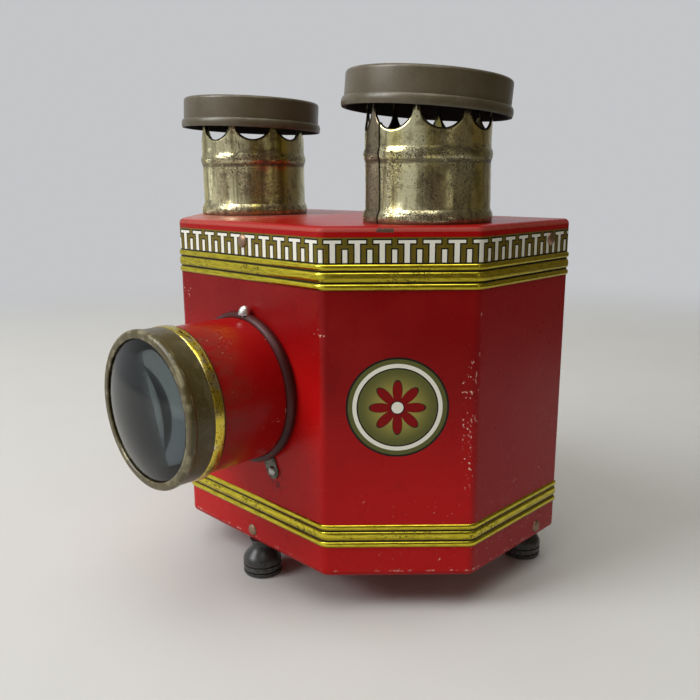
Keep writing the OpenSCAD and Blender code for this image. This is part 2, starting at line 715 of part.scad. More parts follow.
// Folded rail for the card's edge, open towards +Z
module card_rail() {
    depth = card_slot + 2 * rail_t;
    rotate([90, 0, 90]) translate([0, 0, -rail_l / 2]) linear_extrude(rail_l) polygon([
        [0, -rail_t], [-depth, -rail_t], [-depth, rail_lip], [-depth + rail_t, rail_lip],
        [-depth + rail_t, 0], [-rail_t, 0], [-rail_t, rail_back], [0, rail_back]]);
}
module card_rail_bottom() color("silver") placed() translate([0, door_in, door_z - card_h / 2]) card_rail();
module card_rail_top() color("silver") placed()
    translate([0, door_in, door_z + card_h / 2]) mirror([0, 0, 1]) card_rail();

module door_knob() color("black") placed() on_back(knob_x, door_out, door_z) difference() {
    rotate_extrude() polygon(concat(
        [[0, 0], [knob_foot_r, 0], [knob_foot_r, past]],
        [[knob_waist_r, knob_waist_l], [knob_waist_r, knob_l - knob_r - past]],
        [for (a = [-knob_swell : knob_swell / 4 : knob_swell])
            [knob_r * cos(a), knob_l + knob_r / 2 * (sin(a) / sin(knob_swell) - 1)]],
        [[0, knob_l]]));
    translate([0, 0, -past]) cylinder(r = shank_r + fit_gap, h = knob_screw_l + past);
}
module knob_screw() color("silver") placed() on_back(knob_x, door_in - catch_t, door_z)
    mirror([0, 0, 1]) screw(small_r, rivet_h, catch_t + sheet + knob_screw_l);

// Springy catch under the knob's screw, bent in beside the opening's edge
module door_catch() color("silver") placed() difference() {
    x = -(picture_w / 2 - catch_gap);
    translate([x, door_in, door_z - catch_w / 2]) linear_extrude(catch_w) polygon([
        [0, 0], [0, -catch_in], [catch_t, -catch_in],
        [catch_t, -catch_t], [catch_foot, -catch_t], [catch_foot, 0]]);
    on_back(knob_x, door_in, door_z) shank_hole(catch_t + past);
}

function knuckle_z(k) = door_z - hinge_l / 2 + k * (knuckle_l + knuckle_gap);
// A knuckle's barrel with the tongue that joins it to its leaf on one side, at height y
module knuckle(k, reach, y) {
    translate([hinge_x, hinge_y, knuckle_z(k)]) cylinder(r = hinge_r, h = knuckle_l);
    translate([min(hinge_x, hinge_x + reach), y, knuckle_z(k)]) cube([abs(reach), leaf_t, knuckle_l]);
}
module pin_bore() {
    translate([hinge_x, hinge_y, door_z - hinge_l / 2 - past])
        cylinder(r = pin_r + pin_gap, h = hinge_l + 2 * past);
}
module hinge_leaf_body() color("silver") placed() difference() {
    start = hinge_x + hinge_r + hinge_free;
    union() {
        translate([start, back_y, door_z - hinge_l / 2]) cube([leaf_end - start, leaf_t, hinge_l]);
        for (k = [0, 2, 4]) knuckle(k, leaf_end - hinge_x, back_y);
    }
    pin_bore();
    at_leaf_rivets_body() shank_hole(leaf_t + past);
}
module hinge_leaf_door() color("silver") placed() difference() {
    end = hinge_x - hinge_r - hinge_free;
    start = door_w / 2 - leaf_w;
    union() {
        translate([start, door_out, door_z - hinge_l / 2]) cube([end - start, leaf_t, hinge_l]);
        for (k = [1, 3]) knuckle(k, start - hinge_x, door_out);
    }
    pin_bore();
    at_leaf_rivets_door() shank_hole(leaf_t + past);
}
module hinge_pin() color("gray") placed() translate([hinge_x, hinge_y, door_z - hinge_l / 2]) {
    cylinder(r = pin_r, h = hinge_l);
    for (z = [-pin_head, hinge_l]) translate([0, 0, z]) cylinder(r = pin_head_r, h = pin_head);
}
module hinge_rivets_body() color("silver") placed()
    at_leaf_rivets_body() rivet(small_r, rivet_h, leaf_t + sheet, small_r);
module hinge_rivets_door() color("silver") placed()
    at_leaf_rivets_door() rivet(small_r, rivet_h, leaf_t + sheet, small_r);

// Turned foot: two rings with grooves, a bell and a narrow neck
module foot(place) translate([place.x, place.y, 0]) difference() {
    bell = 2 * (foot_ring + foot_groove) + past;
    bell_top = foot_h - foot_neck_l;
    groove_r = foot_r - foot_groove;
    rotate_extrude() polygon(concat(
        [for (a = [-90 : 30 : 0]) [foot_r - foot_edge + foot_edge * cos(a), foot_edge + foot_edge * sin(a)]],
        [for (k = [0, 1]) let (z = foot_ring + k * (foot_ring + foot_groove)) each
            [[foot_r, z], [groove_r, z], [groove_r, z + foot_groove], [foot_r, z + foot_groove]]],
        [for (a = [0 : 30 : 180])
            [neck_r + (foot_r - neck_r) * (1 + cos(a)) / 2, bell + (bell_top - bell) * a / 180]],
        [[foot_top, foot_h - past], [foot_top, foot_h], [0, foot_h], [0, 0]]));
    translate([0, 0, foot_h - foot_screw_l]) cylinder(r = shank_r + fit_gap, h = foot_screw_l + past);
}
module foot_front() color("black") placed() foot(foot_places[0]);
module foot_rear_left() color("black") placed() foot(foot_places[1]);
module foot_rear_right() color("black") placed() foot(foot_places[2]);
module foot_screws() color("silver") placed() at_feet(floor_z) screw(small_r, rivet_h, foot_screw_l);

// Flanged bushing in the back for the lamps' cord
module cord_bushing() color("black") placed() on_back(inlet_x, back_y, foot_h + inlet_z) {
    lip = 1.6;
    neck = inlet_r + sheet;
    rotate_extrude() polygon([
        [inlet_r, -sheet - lip], [inlet_flange, -sheet - lip], [inlet_flange, -sheet],
        [neck, -sheet], [neck, 0],
        [inlet_flange, 0], [inlet_flange, lip / 2], [inlet_flange - lip / 2, lip], [inlet_r, lip]]);
}

body_wall();
top_plate();
bottom_plate();
back_panel();
wall_rivets();
back_rivets();
lens_collar();
collar_screw();
collar_rivets();
lens_tube();
lens_bezel();
lens();
stack_neck_left();
stack_neck_right();
chimney_left();
chimney_right();
chimney_cap_left();
chimney_cap_right();
lamp_socket_left();
lamp_socket_right();
socket_screws();
lamp_base_left();
lamp_base_right();
lamp_glass_left();
lamp_glass_right();
reflector_left();
reflector_right();
reflector_rivets();
door_panel();
card_rail_top();
card_rail_bottom();
door_knob();
knob_screw();
door_catch();
hinge_leaf_body();
hinge_leaf_door();
hinge_pin();
hinge_rivets_body();
hinge_rivets_door();
foot_front();
foot_rear_left();
foot_rear_right();
foot_screws();
cord_bushing();
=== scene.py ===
"""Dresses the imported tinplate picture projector: printed tin, lacquers, glass, floor, light and camera."""

import math
from functools import cache, partialmethod, reduce

import bpy
import numpy as np
from mathutils import Matrix, Vector


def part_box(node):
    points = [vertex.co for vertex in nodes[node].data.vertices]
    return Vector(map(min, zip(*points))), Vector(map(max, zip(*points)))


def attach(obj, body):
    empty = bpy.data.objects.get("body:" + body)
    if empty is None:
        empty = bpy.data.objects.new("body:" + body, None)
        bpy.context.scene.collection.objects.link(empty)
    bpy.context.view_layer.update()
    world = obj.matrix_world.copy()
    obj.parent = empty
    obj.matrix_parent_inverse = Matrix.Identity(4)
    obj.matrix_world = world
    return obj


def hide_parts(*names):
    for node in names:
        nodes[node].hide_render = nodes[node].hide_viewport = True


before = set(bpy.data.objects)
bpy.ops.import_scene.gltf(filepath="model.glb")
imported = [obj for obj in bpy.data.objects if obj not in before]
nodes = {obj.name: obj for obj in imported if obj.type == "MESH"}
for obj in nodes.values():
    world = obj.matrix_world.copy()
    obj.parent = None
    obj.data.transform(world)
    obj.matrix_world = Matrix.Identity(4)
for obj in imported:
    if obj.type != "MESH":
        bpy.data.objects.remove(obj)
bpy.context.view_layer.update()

MM = 0.001
TINY = 1e-6


def node_box(name):
    """Lowest and highest corner of a CAD node, in millimetres."""
    return [np.array(corner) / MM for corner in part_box(name)]


def node_mid(name):
    low, high = node_box(name)
    return (low + high) / 2


# Sizes in millimetres: the housing's sheet metal
SHEET = 0.8
FIT_GAP = 0.1
CHAMFER = 47.6
FOLD_R = 6
REAR_R = 2
REAR_FLANGE = 12
RIM_R = 2.4
FLANGE_H = 11
REED_NARROW = 2.7
REED_WIDE = 4.2
REED_VALLEY = 0.7
REED_OUT = 0.8
LOW_BAND = 14.7
TOP_BAND = 15.7
WALL_HOLE_DEPTH = 4

wall_low, wall_high = node_box("body_wall")
FRONT_Y = wall_low[1] + REED_OUT
REAR_Y = wall_high[1] - REED_OUT
BODY_W = wall_high[0] - wall_low[0] - 2 * REED_OUT
FRONT_W = BODY_W - 2 * CHAMFER
FLOOR_Z = node_box("bottom_plate")[0][2]
TOP_Z = node_box("top_plate")[1][2]
WALL_LOW = wall_low[2]
WALL_TOP = wall_high[2]
BAND_H = 2 * REED_NARROW + REED_WIDE + 2 * REED_VALLEY
LOW_BAND_Z = FLOOR_Z + LOW_BAND
TOP_BAND_Z = TOP_Z - TOP_BAND - BAND_H
BANDS_Z = (LOW_BAND_Z, TOP_BAND_Z)

# Each reed's start above its band's foot, and its height
REEDS = [(0, REED_NARROW), (REED_NARROW + REED_VALLEY, REED_WIDE), (BAND_H - REED_NARROW, REED_NARROW)]

# Where the slanted walls meet the sides, along the print from the front's middle
FOLD_AT = FRONT_W / 2 + CHAMFER * math.sqrt(2)


def depths(name):
    """How far a node's front and rear lie behind the front wall's face."""
    low, high = node_box(name)
    return low[1] - FRONT_Y, high[1] - FRONT_Y


# Lens barrel
LENS_AXIS = node_mid("lens_tube")
LENS_HOLE = (LENS_AXIS[0], FRONT_Y, LENS_AXIS[2])
LENS_SEAT, TUBE_TAIL = depths("lens_tube")
TUBE_R = 34
SLIDE_GAP = 0.25
LENS_R = 33.8
LENS_CURVE = 80
LENS_REAR_CURVE = 190
LENS_REAR_R = 32.4
LIP_IN = 2.2
LIP_EDGE = 0.35
NOSE_R = 1.6
NOSE_L = 2.5
NOSE_FALL = 1.2
BEZEL_BEAD = 0.55
BEZEL_RING = 0.4
BEZEL_RING_L = 5.2
BEZEL_RING_BACK = 1.6
BEZEL_GROOVE = 0.2
COLLAR_OUT = 1.6

# Chimneys and caps
STACK_AXIS = node_mid("lamp_socket_right")
STACK_R = 28
SPIGOT = 9
STACK_GAP = 0.25
BEAD_H = 6
FOOT_BEAD = 1.3
MID_BEAD = 0.8
MID_BEAD_Z = 26.2
FLANK_POWER = 1.5
CROWN_Z = 39.3
SCALLOP_R = 9.6
POINTS_N = 8
PITCH_DEG = 360 / POINTS_N
CROWN_TURN = -16
SEAM_OUT = 0.45
SEAM_DEG = 24
SLIT_DEG = 1.0
SLIT_DEEP = 1.3
EDGE_DEG = 0.3
DENT = 0.12
CAP_R = 36.6
CAP_H = 15.4
CAP_BEAD = 1.2
CAP_BEAD_H = 4.4
CAP_ROUND = 1.6
CAP_PRESS_R = 22
CAP_PRESS = 0.9
LEAN_DIR = 45
FLAT_START = 40
SCALLOP_STEPS = 25
TIP_STEPS = 5
BEAD_STEPS = 16
TURN_DIGITS = 4

# Rows of a chimney's mesh between its beads, up to the crown and up to the cap, as shares of the way
PLAIN_ROWS = (0.3, 0.65)
CROWN_ROWS = (0.2, 0.4, 0.6, 0.8, 1.0)
TIP_ROWS = (0.5, 1.0)

# Feet
FOOT_NECK = 5
FOOT_TOP = 6
FOOT_RING = 2.2
FOOT_GROOVE = 0.8
FOOT_EDGE = 1.4
FOOT_NECK_L = 2.6


def direction(degrees):
    return np.array([math.cos(math.radians(degrees)), math.sin(math.radians(degrees))])


# Runs of profiles, as (radius, height)

def arc(centre, radius, start, end, steps):
    """Part of a circle between two angles in degrees."""
    return [np.asarray(centre) + radius * direction(a) for a in np.linspace(start, end, steps)]


def ogee(start, end, steps):
    """An S-shaped run from one point to another, upright at both."""
    (r, h), (end_r, end_h) = start, end
    return [(end_r + (r - end_r) * (1 + math.cos(a)) / 2, h + (end_h - h) * a / math.pi)
        for a in np.linspace(0, math.pi, steps)]


def bead(z, out, height, start=0.0, steps=14, flank=None):
    """A bead from height z as (offset, height); a start above 0 cuts it flat below.

    flank is the power of evenly slanted flanks, as pressed tin has them; without it they are round."""
    first = math.radians(start)
    span = 1 + math.cos(first)
    points = []
    for a in np.linspace(first, math.pi, steps):
        rounded = flank is None or (start > 0 and a < math.pi / 2)
        swell = math.sin(a) if rounded else 1 - abs(math.cos(a)) ** flank
        points.append((out * swell, z + height * (math.cos(first) - math.cos(a)) / span))
    return points


# Meshes

RING_STEPS = 192
SHARP_DEG = 35
CORNER_SHARE = 0.4


def rotation(degrees, axis):
    return Matrix.Rotation(math.radians(degrees), 4, axis)


def circle(r, h, steps):
    """Points of a circle about z."""
    turns = np.linspace(0, 2 * math.pi, steps, endpoint=False)
    return [(r * math.cos(a), r * math.sin(a), h) for a in turns]


def between(low, high):
    """Faces between two closed rows of point numbers; a point that repeats is left out."""
    ahead = [[*row[1:], row[0]] for row in (low, high)]
    faces = [list(dict.fromkeys(corners)) for corners in zip(low, *ahead, high)]
    return [face for face in faces if len(face) > 2]


def ladder(near, far):
    """Faces between two open columns of point numbers, as far as both go."""
    return [[near[j], far[j], far[j + 1], near[j + 1]] for j in range(min(len(near), len(far)) - 1)]


def add_object(name, data):
    made = bpy.data.objects.new(name, data)
    bpy.context.scene.collection.objects.link(made)
    return made


def add_mesh(name, points, faces):
    """A mesh in the scene, from points in metres."""
    mesh = bpy.data.meshes.new(name)
    mesh.from_pydata([tuple(p) for p in points], [], faces)
    return add_object(name, mesh)


def make_piece(name, points, faces, body, node, uv=None, groups=None, attributes=None):
    """A smooth-shaded mesh from points in millimetres, riding on a body and standing for a CAD node.

    uv gives each face corner's print place in metres, groups each face's material index."""
    piece = add_mesh(name, np.asarray(points, float) * MM, faces)
    mesh = piece.data
    if uv:
        layer = mesh.uv_layers.new(name="print")
        layer.data.foreach_set("uv", np.asarray(uv, np.float32).ravel())
    if groups:
        mesh.polygons.foreach_set("material_index", groups)
    for key, values in (attributes or {}).items():
        layer = mesh.attributes.new(key, "FLOAT", "POINT")
        layer.data.foreach_set("value", np.asarray(values, np.float32))
    mesh.polygons.foreach_set("use_smooth", [True] * len(mesh.polygons))
    mesh.set_sharp_from_angle(angle=math.radians(SHARP_DEG))
    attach(piece, body)
    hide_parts(node)
    return piece


def use_materials(piece, *names):
    """Sets the material slots in order and keeps the faces' indices."""
    slots = piece.data.materials
    for i, name in enumerate(names):
        if i < len(slots):
            slots[i] = looks[name]
        else:
            slots.append(looks[name])


def bake_modifier(piece, kind, **settings):
    """Adds a modifier and replaces the piece's mesh with the result."""
    modifier = piece.modifiers.new(kind.lower(), kind)
    for key, value in settings.items():
        setattr(modifier, key, value)
    graph = bpy.context.evaluated_depsgraph_get()
    mesh = bpy.data.meshes.new_from_object(piece.evaluated_get(graph), depsgraph=graph)
    piece.modifiers.clear()
    old = piece.data
    piece.data = mesh
    bpy.data.meshes.remove(old)


def cut_round(piece, centre, axis, radius):
    """Cuts a round hole; the axis is "y" or "z", and the sizes are millimetres."""
    ends = [circle(radius, h, RING_STEPS) for h in (-WALL_HOLE_DEPTH, WALL_HOLE_DEPTH)]
    points = np.concatenate(ends)
    if axis == "y":
        points = points[:, [0, 2, 1]] * np.array([1, 1, -1])
    low, high = list(range(RING_STEPS)), list(range(RING_STEPS, 2 * RING_STEPS))
    cutter = add_mesh("cutter", (points + np.asarray(centre)) * MM, [*between(low, high), low[::-1], high])
    bake_modifier(piece, "BOOLEAN", operation="DIFFERENCE", object=cutter, solver="EXACT")
    mesh = cutter.data
    bpy.data.objects.remove(cutter)
    bpy.data.meshes.remove(mesh)


def soften(points, radius, steps=5):
    """A closed outline with each corner rounded, as far as its edges allow."""
    points = [np.asarray(p, float) for p in points]
    rounded = []
    for i, corner in enumerate(points):
        before = points[i - 1] - corner
        after = points[(i + 1) % len(points)] - corner
        reach = min(radius, CORNER_SHARE * np.linalg.norm(before), CORNER_SHARE * np.linalg.norm(after))
        start = corner + before / np.linalg.norm(before) * reach
        end = corner + after / np.linalg.norm(after) * reach
        for t in np.linspace(0, 1, steps):
            rounded.append((1 - t) ** 2 * start + 2 * t * (1 - t) * corner + t * t * end)
    return rounded


def convexity(profile):
    """How sharply an anticlockwise closed outline turns outwards at each point, from 0 to 1."""
    pts = np.asarray(profile, float)
    back = pts - np.roll(pts, 1, 0)
    ahead = np.roll(pts, -1, 0) - pts
    turn = np.arctan2(back[:, 0] * ahead[:, 1] - back[:, 1] * ahead[:, 0], (back * ahead).sum(1))
    run = (np.linalg.norm(back, axis=1) + np.linalg.norm(ahead, axis=1)) / 2
    return np.clip(turn / np.maximum(run, TINY), 0, 1)


def lathe(name, profile, place, body, node, steps=RING_STEPS, bore=0.0):
    """Turns a closed profile of (radius, height) about local z; points on the axis become poles.

    Faces inside the bore's radius get the second material."""
    matrix = np.array(place, float)
    points, rows, wear = [], [], []
    for (r, h), w in zip(profile, convexity(profile)):
        count = 1 if r < TINY else steps
        rows.append([len(points) + i % count for i in range(steps)])
        points += circle(r, h, count)
        wear += [w] * count
    faces, groups = [], []
    for i in range(len(rows)):
        after = (i + 1) % len(rows)
        strip = between(rows[i], rows[after])
        faces += strip
        groups += [int(max(profile[i][0], profile[after][0]) < bore)] * len(strip)
    points = np.asarray(points) @ matrix[:3, :3].T + matrix[:3, 3]
    return make_piece(name, points, faces, body, node, groups=groups, attributes={"wear": wear})


# Local z along the lens axis into the housing, from the front wall's face
LENS_PLACE = Matrix.Translation(LENS_HOLE) @ rotation(-90, "X")


def stack_foot(side):
    return *node_mid("lamp_socket_" + side)[:2], TOP_Z


def leaning(rise, lean):
    """Turns a cap about the middle of its underside, so that it drops towards LEAN_DIR."""
    aim = rotation(LEAN_DIR, "Z")
    tilt = aim @ rotation(lean, "Y") @ aim.inverted()
    return Matrix.Translation((0, 0, rise + CAP_H - SHEET)) @ tilt


# The folded housing's plan: the outward directions of its edges, and the radius at each corner between

PLAN_TURNS = [90, 180, 225, 270, 315, 360, 450]
PLAN_RADII = [REAR_R, *[FOLD_R] * 4, REAR_R]
FOLD_STEPS = 8
LEAST_R = 0.2


def plan_corners(rear_in=0.0):
    half, side = BODY_W / 2, FRONT_Y + CHAMFER
    right = [(FRONT_W / 2, FRONT_Y), (half, side), (half, REAR_Y - rear_in)]
    return [np.array(p) for p in [(-x, y) for x, y in right[::-1]] + right]


def miter(a, b):
    return (direction(a) + direction(b)) / (1 + direction(a) @ direction(b))


def fold_arcs(corners, offset=0.0):
    """Centre, direction and radius of each station round the folds."""
    for i, corner in enumerate(corners):
        a, b = PLAN_TURNS[i], PLAN_TURNS[i + 1]
        r = max(PLAN_RADII[i] + offset, LEAST_R)
        for k in range(FOLD_STEPS + 1):
            yield corner + (offset - r) * miter(a, b), a + (b - a) * k / FOLD_STEPS, r


def outline(corners, offset):
    return [centre + r * direction(angle) for centre, angle, r in fold_arcs(corners, offset)]


def band(z):
    return [point for start, h in REEDS for point in bead(z + start, REED_OUT, h, steps=12)]


def printed_wall():
    """The strip round the front and sides.

    Its print place is the length along the strip from the front's middle, and the height."""
    face = [(0, WALL_LOW), *band(LOW_BAND_Z), *band(TOP_BAND_Z), (0, WALL_TOP)]
    half = BODY_W / 2 - REAR_FLANGE
    ends = [(np.array([s * half, REAR_Y - REAR_R]), 90, REAR_R) for s in (-1, 1)]
    stations = [ends[0], *fold_arcs(plan_corners()), ends[1]]
    track = np.array([c + r * direction(a) for c, a, r in stations])
    along = np.concatenate([[0], np.cumsum(np.linalg.norm(np.diff(track, axis=0), axis=1))])
    along -= along[-1] / 2
    section = face + [(q - SHEET, z) for q, z in reversed(face)]
    m = len(section)
    points = [(*(centre + (r + q) * direction(angle)), z)
        for centre, angle, r in stations for q, z in section]
    rows = np.arange(len(points)).reshape(-1, m).tolist()
    faces = [quad for low, high in zip(rows, rows[1:]) for quad in between(low, high)]
    uv = [(along[p // m] * MM, section[p % m][1] * MM) for quad in faces for p in quad]
    groups = [int(j >= len(face) - 1) for j in range(m)] * (len(rows) - 1)
    for last in (0, rows[-1][0]):
        for j in range(len(face) - 1):
            corners = [j, j + 1, m - 2 - j, m - 1 - j]
            faces.append([last + c for c in (corners if last else corners[::-1])])
            uv += [(0, 0)] * 4
            groups.append(1)
    wall = make_piece("printed_wall", points, faces, "housing", "body_wall", uv, groups)
    cut_round(wall, LENS_HOLE, "y", TUBE_R + SLIDE_GAP + SHEET + FIT_GAP)
    return wall


def drawn_plate(name, node, face_z, up, rim):
    """Plate with a rolled rim in line with the wall and a flange inside it."""
    inset = SHEET + FIT_GAP
    drop = rim + FLANGE_H
    curl = min(RIM_R, rim)
    inner = [(-inset - SHEET, SHEET), (-inset - SHEET, drop), (-inset, drop), (-inset, rim)]
    outer = [(0, rim), *arc((-curl, curl), curl, 0, -90, 8)]
    rings = [outline(plan_corners(SHEET), q) for q, _ in inner]
    rings += [outline(plan_corners(), q) for q, _ in outer]
    heights = [face_z - up * depth for _, depth in inner + outer]
    points = [(*p, h) for ring, h in zip(rings, heights) for p in (ring[::-1] if up > 0 else ring)]
    rows = np.arange(len(points)).reshape(len(rings), -1).tolist()
    faces, groups = [], []
    for i, (low, high) in enumerate(zip(rows, rows[1:])):
        faces += ladder([*low, low[0]], [*high, high[0]])
        groups += [int(i < len(inner))] * len(low)
    faces += [rows[0], rows[-1][::-1]]
    return make_piece(name, points, faces, "housing", node, groups=groups + [1, 0])


def top_plate():
    plate = drawn_plate("top_plate_rolled", "top_plate", TOP_Z, 1, TOP_Z - WALL_TOP)
    for side in ("left", "right"):
        cut_round(plate, stack_foot(side), "z", STACK_R + STACK_GAP)
    return plate


def lens_tube():
    """Rolled tube behind the lens seat."""
    inner = TUBE_R - SHEET
    sheet = [(inner, LENS_SEAT), (TUBE_R, LENS_SEAT), (TUBE_R, TUBE_TAIL), (inner, TUBE_TAIL)]
    return lathe("lens_tube_rolled", soften(sheet, LIP_EDGE), LENS_PLACE, "lens_barrel",
        "lens_tube", bore=TUBE_R - SHEET / 2)


def lens_bezel():
    """Bezel with an inner lip, a rounded nose, a plain band and a raised ring at its rear."""
    front, rear = depths("lens_bezel")
    rear += BEZEL_RING_BACK
    inner = TUBE_R + FIT_GAP
    outer = inner + SHEET
    widest = outer + BEZEL_BEAD
    lip = front + SHEET
    lip_r = LENS_R - LIP_IN
    nose = arc((widest - NOSE_R, front + NOSE_R), NOSE_R, -90, 0, 10)
    nose_end = front + NOSE_L
    fall = ogee((widest, nose_end), (outer, nose_end + NOSE_FALL), 7)
    ring_start = rear - BEZEL_RING_L
    ring = [(outer + q, z) for q, z in bead(ring_start, BEZEL_RING, BEZEL_RING_L, steps=12)]
    groove = [(outer, ring_start - 2 * BEZEL_GROOVE), (outer - BEZEL_GROOVE, ring_start - BEZEL_GROOVE)]
    turned = [(inner, lip), (lip_r, lip), (lip_r, front + LIP_EDGE), (lip_r + LIP_EDGE, front),
        *nose, *fall, *groove, *ring, (inner, rear)]
    return lathe("lens_bezel_turned", turned, LENS_PLACE, "lens_barrel", "lens_bezel")


def lens_glass():
    """Lens of two curves with a ground edge."""
    apex = depths("lens")[0]
    spread = math.degrees(math.asin(LENS_R / LENS_CURVE))
    dome = arc((0, apex + LENS_CURVE), LENS_CURVE, -90, spread - 90, 32)
    ground = [(LENS_R, LENS_SEAT - LIP_EDGE), (LENS_R - LIP_EDGE, LENS_SEAT)]
    rear_spread = math.asin(LENS_REAR_R / LENS_REAR_CURVE)
    rear_centre = (0, LENS_SEAT - LENS_REAR_CURVE * math.cos(rear_spread))
    rear = arc(rear_centre, LENS_REAR_CURVE, 90 - math.degrees(rear_spread), 90, 24)
    return lathe("lens_ground", [*dome, *ground, *rear], LENS_PLACE, "lens_barrel", "lens")


def crown_height(turn):
    """Top of the scallops at an angle, and whether the place is on a point of the crown."""
    local = (turn - CROWN_TURN) % PITCH_DEG - PITCH_DEG / 2
    reach = STACK_R * math.sin(math.radians(local))
    if abs(reach) >= SCALLOP_R:
        return CROWN_Z + SCALLOP_R, True
    return CROWN_Z + SCALLOP_R - math.sqrt(SCALLOP_R ** 2 - reach ** 2), False


def chimney_turns(seam):
    """Angles of a chimney's columns: close together at the crown's points and at the seam's edges."""
    edge = math.degrees(math.asin(SCALLOP_R / STACK_R))
    slit_end = SEAM_DEG + SLIT_DEG
    edges = (-EDGE_DEG, 0, SEAM_DEG, SEAM_DEG + EDGE_DEG, slit_end, slit_end + EDGE_DEG)
    turns = [seam + t for t in edges]
    for k in range(POINTS_N):
        middle = CROWN_TURN + (k + 0.5) * PITCH_DEG
        for phi in np.linspace(-90, 90, SCALLOP_STEPS):
            reach = SCALLOP_R * math.sin(math.radians(phi))
            turns.append(middle + math.degrees(math.asin(reach / STACK_R)))
        turns += [middle + t for t in np.linspace(edge, PITCH_DEG - edge, TIP_STEPS)]
    return sorted({round(t % 360, TURN_DIGITS) for t in turns})


def seam_part(turn, seam):
    """Whether an angle lies on the lapped strip, and whether it lies in the open slit beside it."""
    local = (turn - seam + 180) % 360 - 180
    slack = EDGE_DEG / 2
    strip = -slack < local < SEAM_DEG + slack
    slit = SEAM_DEG + slack < local < SEAM_DEG + SLIT_DEG + slack
    return strip, slit


def dent(turn, z, seed):
    """Slow waves of old rolled tin, in millimetres."""
    a = math.radians(turn)
    slow = math.sin(3 * a + seed) * math.sin(z / 9 + 2 * a + seed)
    return DENT * (slow + 0.6 * math.sin(7 * a - z / 6 + 2 * seed))


def chimney(side, rise, lean, seam):
    """Rolled tube with beads, a lapped seam and a scalloped crown up to the cap's underside."""
    plane = leaning(rise, lean)
    normal = plane.to_3x3() @ Vector((0, 0, 1))
    centre = plane.to_translation()
    plain = [(0, BEAD_H + (MID_BEAD_Z - BEAD_H) * t) for t in PLAIN_ROWS]
    beads = [(0, -SPIGOT), (0, -LEAST_R), *bead(0, FOOT_BEAD, BEAD_H, FLAT_START, BEAD_STEPS, FLANK_POWER),
        *plain, *bead(MID_BEAD_Z, MID_BEAD, BEAD_H, 0.0, BEAD_STEPS, FLANK_POWER)]
    start = MID_BEAD_Z + BEAD_H
    points, slits, strips, columns, tops = [], [], [], [], []
    for turn in chimney_turns(seam):
        crown, tip = crown_height(turn)
        strip, slit = seam_part(turn, seam)
        rows = beads + [(0, start + (crown - start) * t) for t in CROWN_ROWS]
        reach = STACK_R * direction(turn)
        slope = normal.x * (reach[0] - centre.x) + normal.y * (reach[1] - centre.y)
        cap = centre.z - slope / normal.z
        extra = [(0, crown + (cap - crown) * t) for t in TIP_ROWS] if tip else []
        column = []
        for q, z in rows + extra:
            grip = np.clip(z / BEAD_H, 0, 1)
            open_slit = slit * np.clip((crown - z) / SCALLOP_R, 0, 1)
            step = (SEAM_OUT * strip - SLIT_DEEP * open_slit) * (z > -SHEET)
            r = STACK_R + q + step + grip * dent(turn, z, rise)
            column.append(len(points))
            points.append((*(r * direction(turn)), z))
            slits.append(float(slit))
            strips.append(float(strip))
        columns.append(column[:len(rows)])
        tops.append(column[len(rows) - 1:])
    faces = []
    for i in range(len(columns)):
        after = (i + 1) % len(columns)
        faces += ladder(columns[i], columns[after]) + ladder(tops[i], tops[after])
    points = np.asarray(points) + np.array(Vector(stack_foot(side)))
    name = "chimney_" + side
    piece = make_piece(name + "_rolled", points, faces, side + "_chimney", name,
        attributes={"slit": slits, "strip": strips})
    bake_modifier(piece, "SOLIDIFY", thickness=SHEET * MM, offset=-1, use_even_offset=True)
    return piece


def chimney_cap(side, rise, lean):
    """Drawn cap with a beaded edge, a rounded shoulder and a shallow pressed disc on top."""
    low = SHEET - CAP_H
    disc = SHEET + CAP_PRESS
    rim = [(CAP_R + q, z) for q, z in bead(low, CAP_BEAD, CAP_BEAD_H, FLAT_START)]
    shoulder = arc((CAP_R - CAP_ROUND, SHEET - CAP_ROUND), CAP_ROUND, 0, 90, 8)
    press = ogee((CAP_PRESS_R + CAP_PRESS, SHEET), (CAP_PRESS_R, disc), 7)
    under = [(0, disc), (0, CAP_PRESS), (CAP_PRESS_R - SHEET, CAP_PRESS), (CAP_PRESS_R, 0),
        (CAP_R - SHEET, 0)]
    profile = [(CAP_R - SHEET, low), *rim, *shoulder, *press, *under]
    name = "chimney_cap_" + side
    place = Matrix.Translation(stack_foot(side)) @ leaning(rise, lean)
    return lathe(name + "_drawn", profile, place, side + "_chimney", name)


def foot(name):
    """Turned foot: two rings with grooves, a bell and a narrow neck."""
    low, high = node_box(name)
    r, height = (high[0] - low[0]) / 2, high[2]
    heel = arc((r - FOOT_EDGE, FOOT_EDGE), FOOT_EDGE, -90, 0, 6)
    pitch = FOOT_RING + FOOT_GROOVE
    grooves = [(r + q, z) for k in (1, 2)
        for q, z in bead(k * pitch - FOOT_GROOVE, -FOOT_GROOVE, FOOT_GROOVE, steps=7)]
    flare = ogee((r, 2 * pitch + FOOT_EDGE), (FOOT_NECK, height - FOOT_NECK_L), 20)
    top = [(FOOT_NECK, height - FOOT_EDGE), (FOOT_TOP, height - FOOT_EDGE / 2), (FOOT_TOP, height)]
    place = Matrix.Translation((*node_mid(name)[:2], 0))
    profile = [(0, 0), *heel, *grooves, *flare, *top, (0, height)]
    return lathe(name + "_turned", profile, place, "housing", name, steps=96)


# Materials, by name

looks = {}

# No stretch of a pattern along any axis
EVEN = (1, 1, 1)


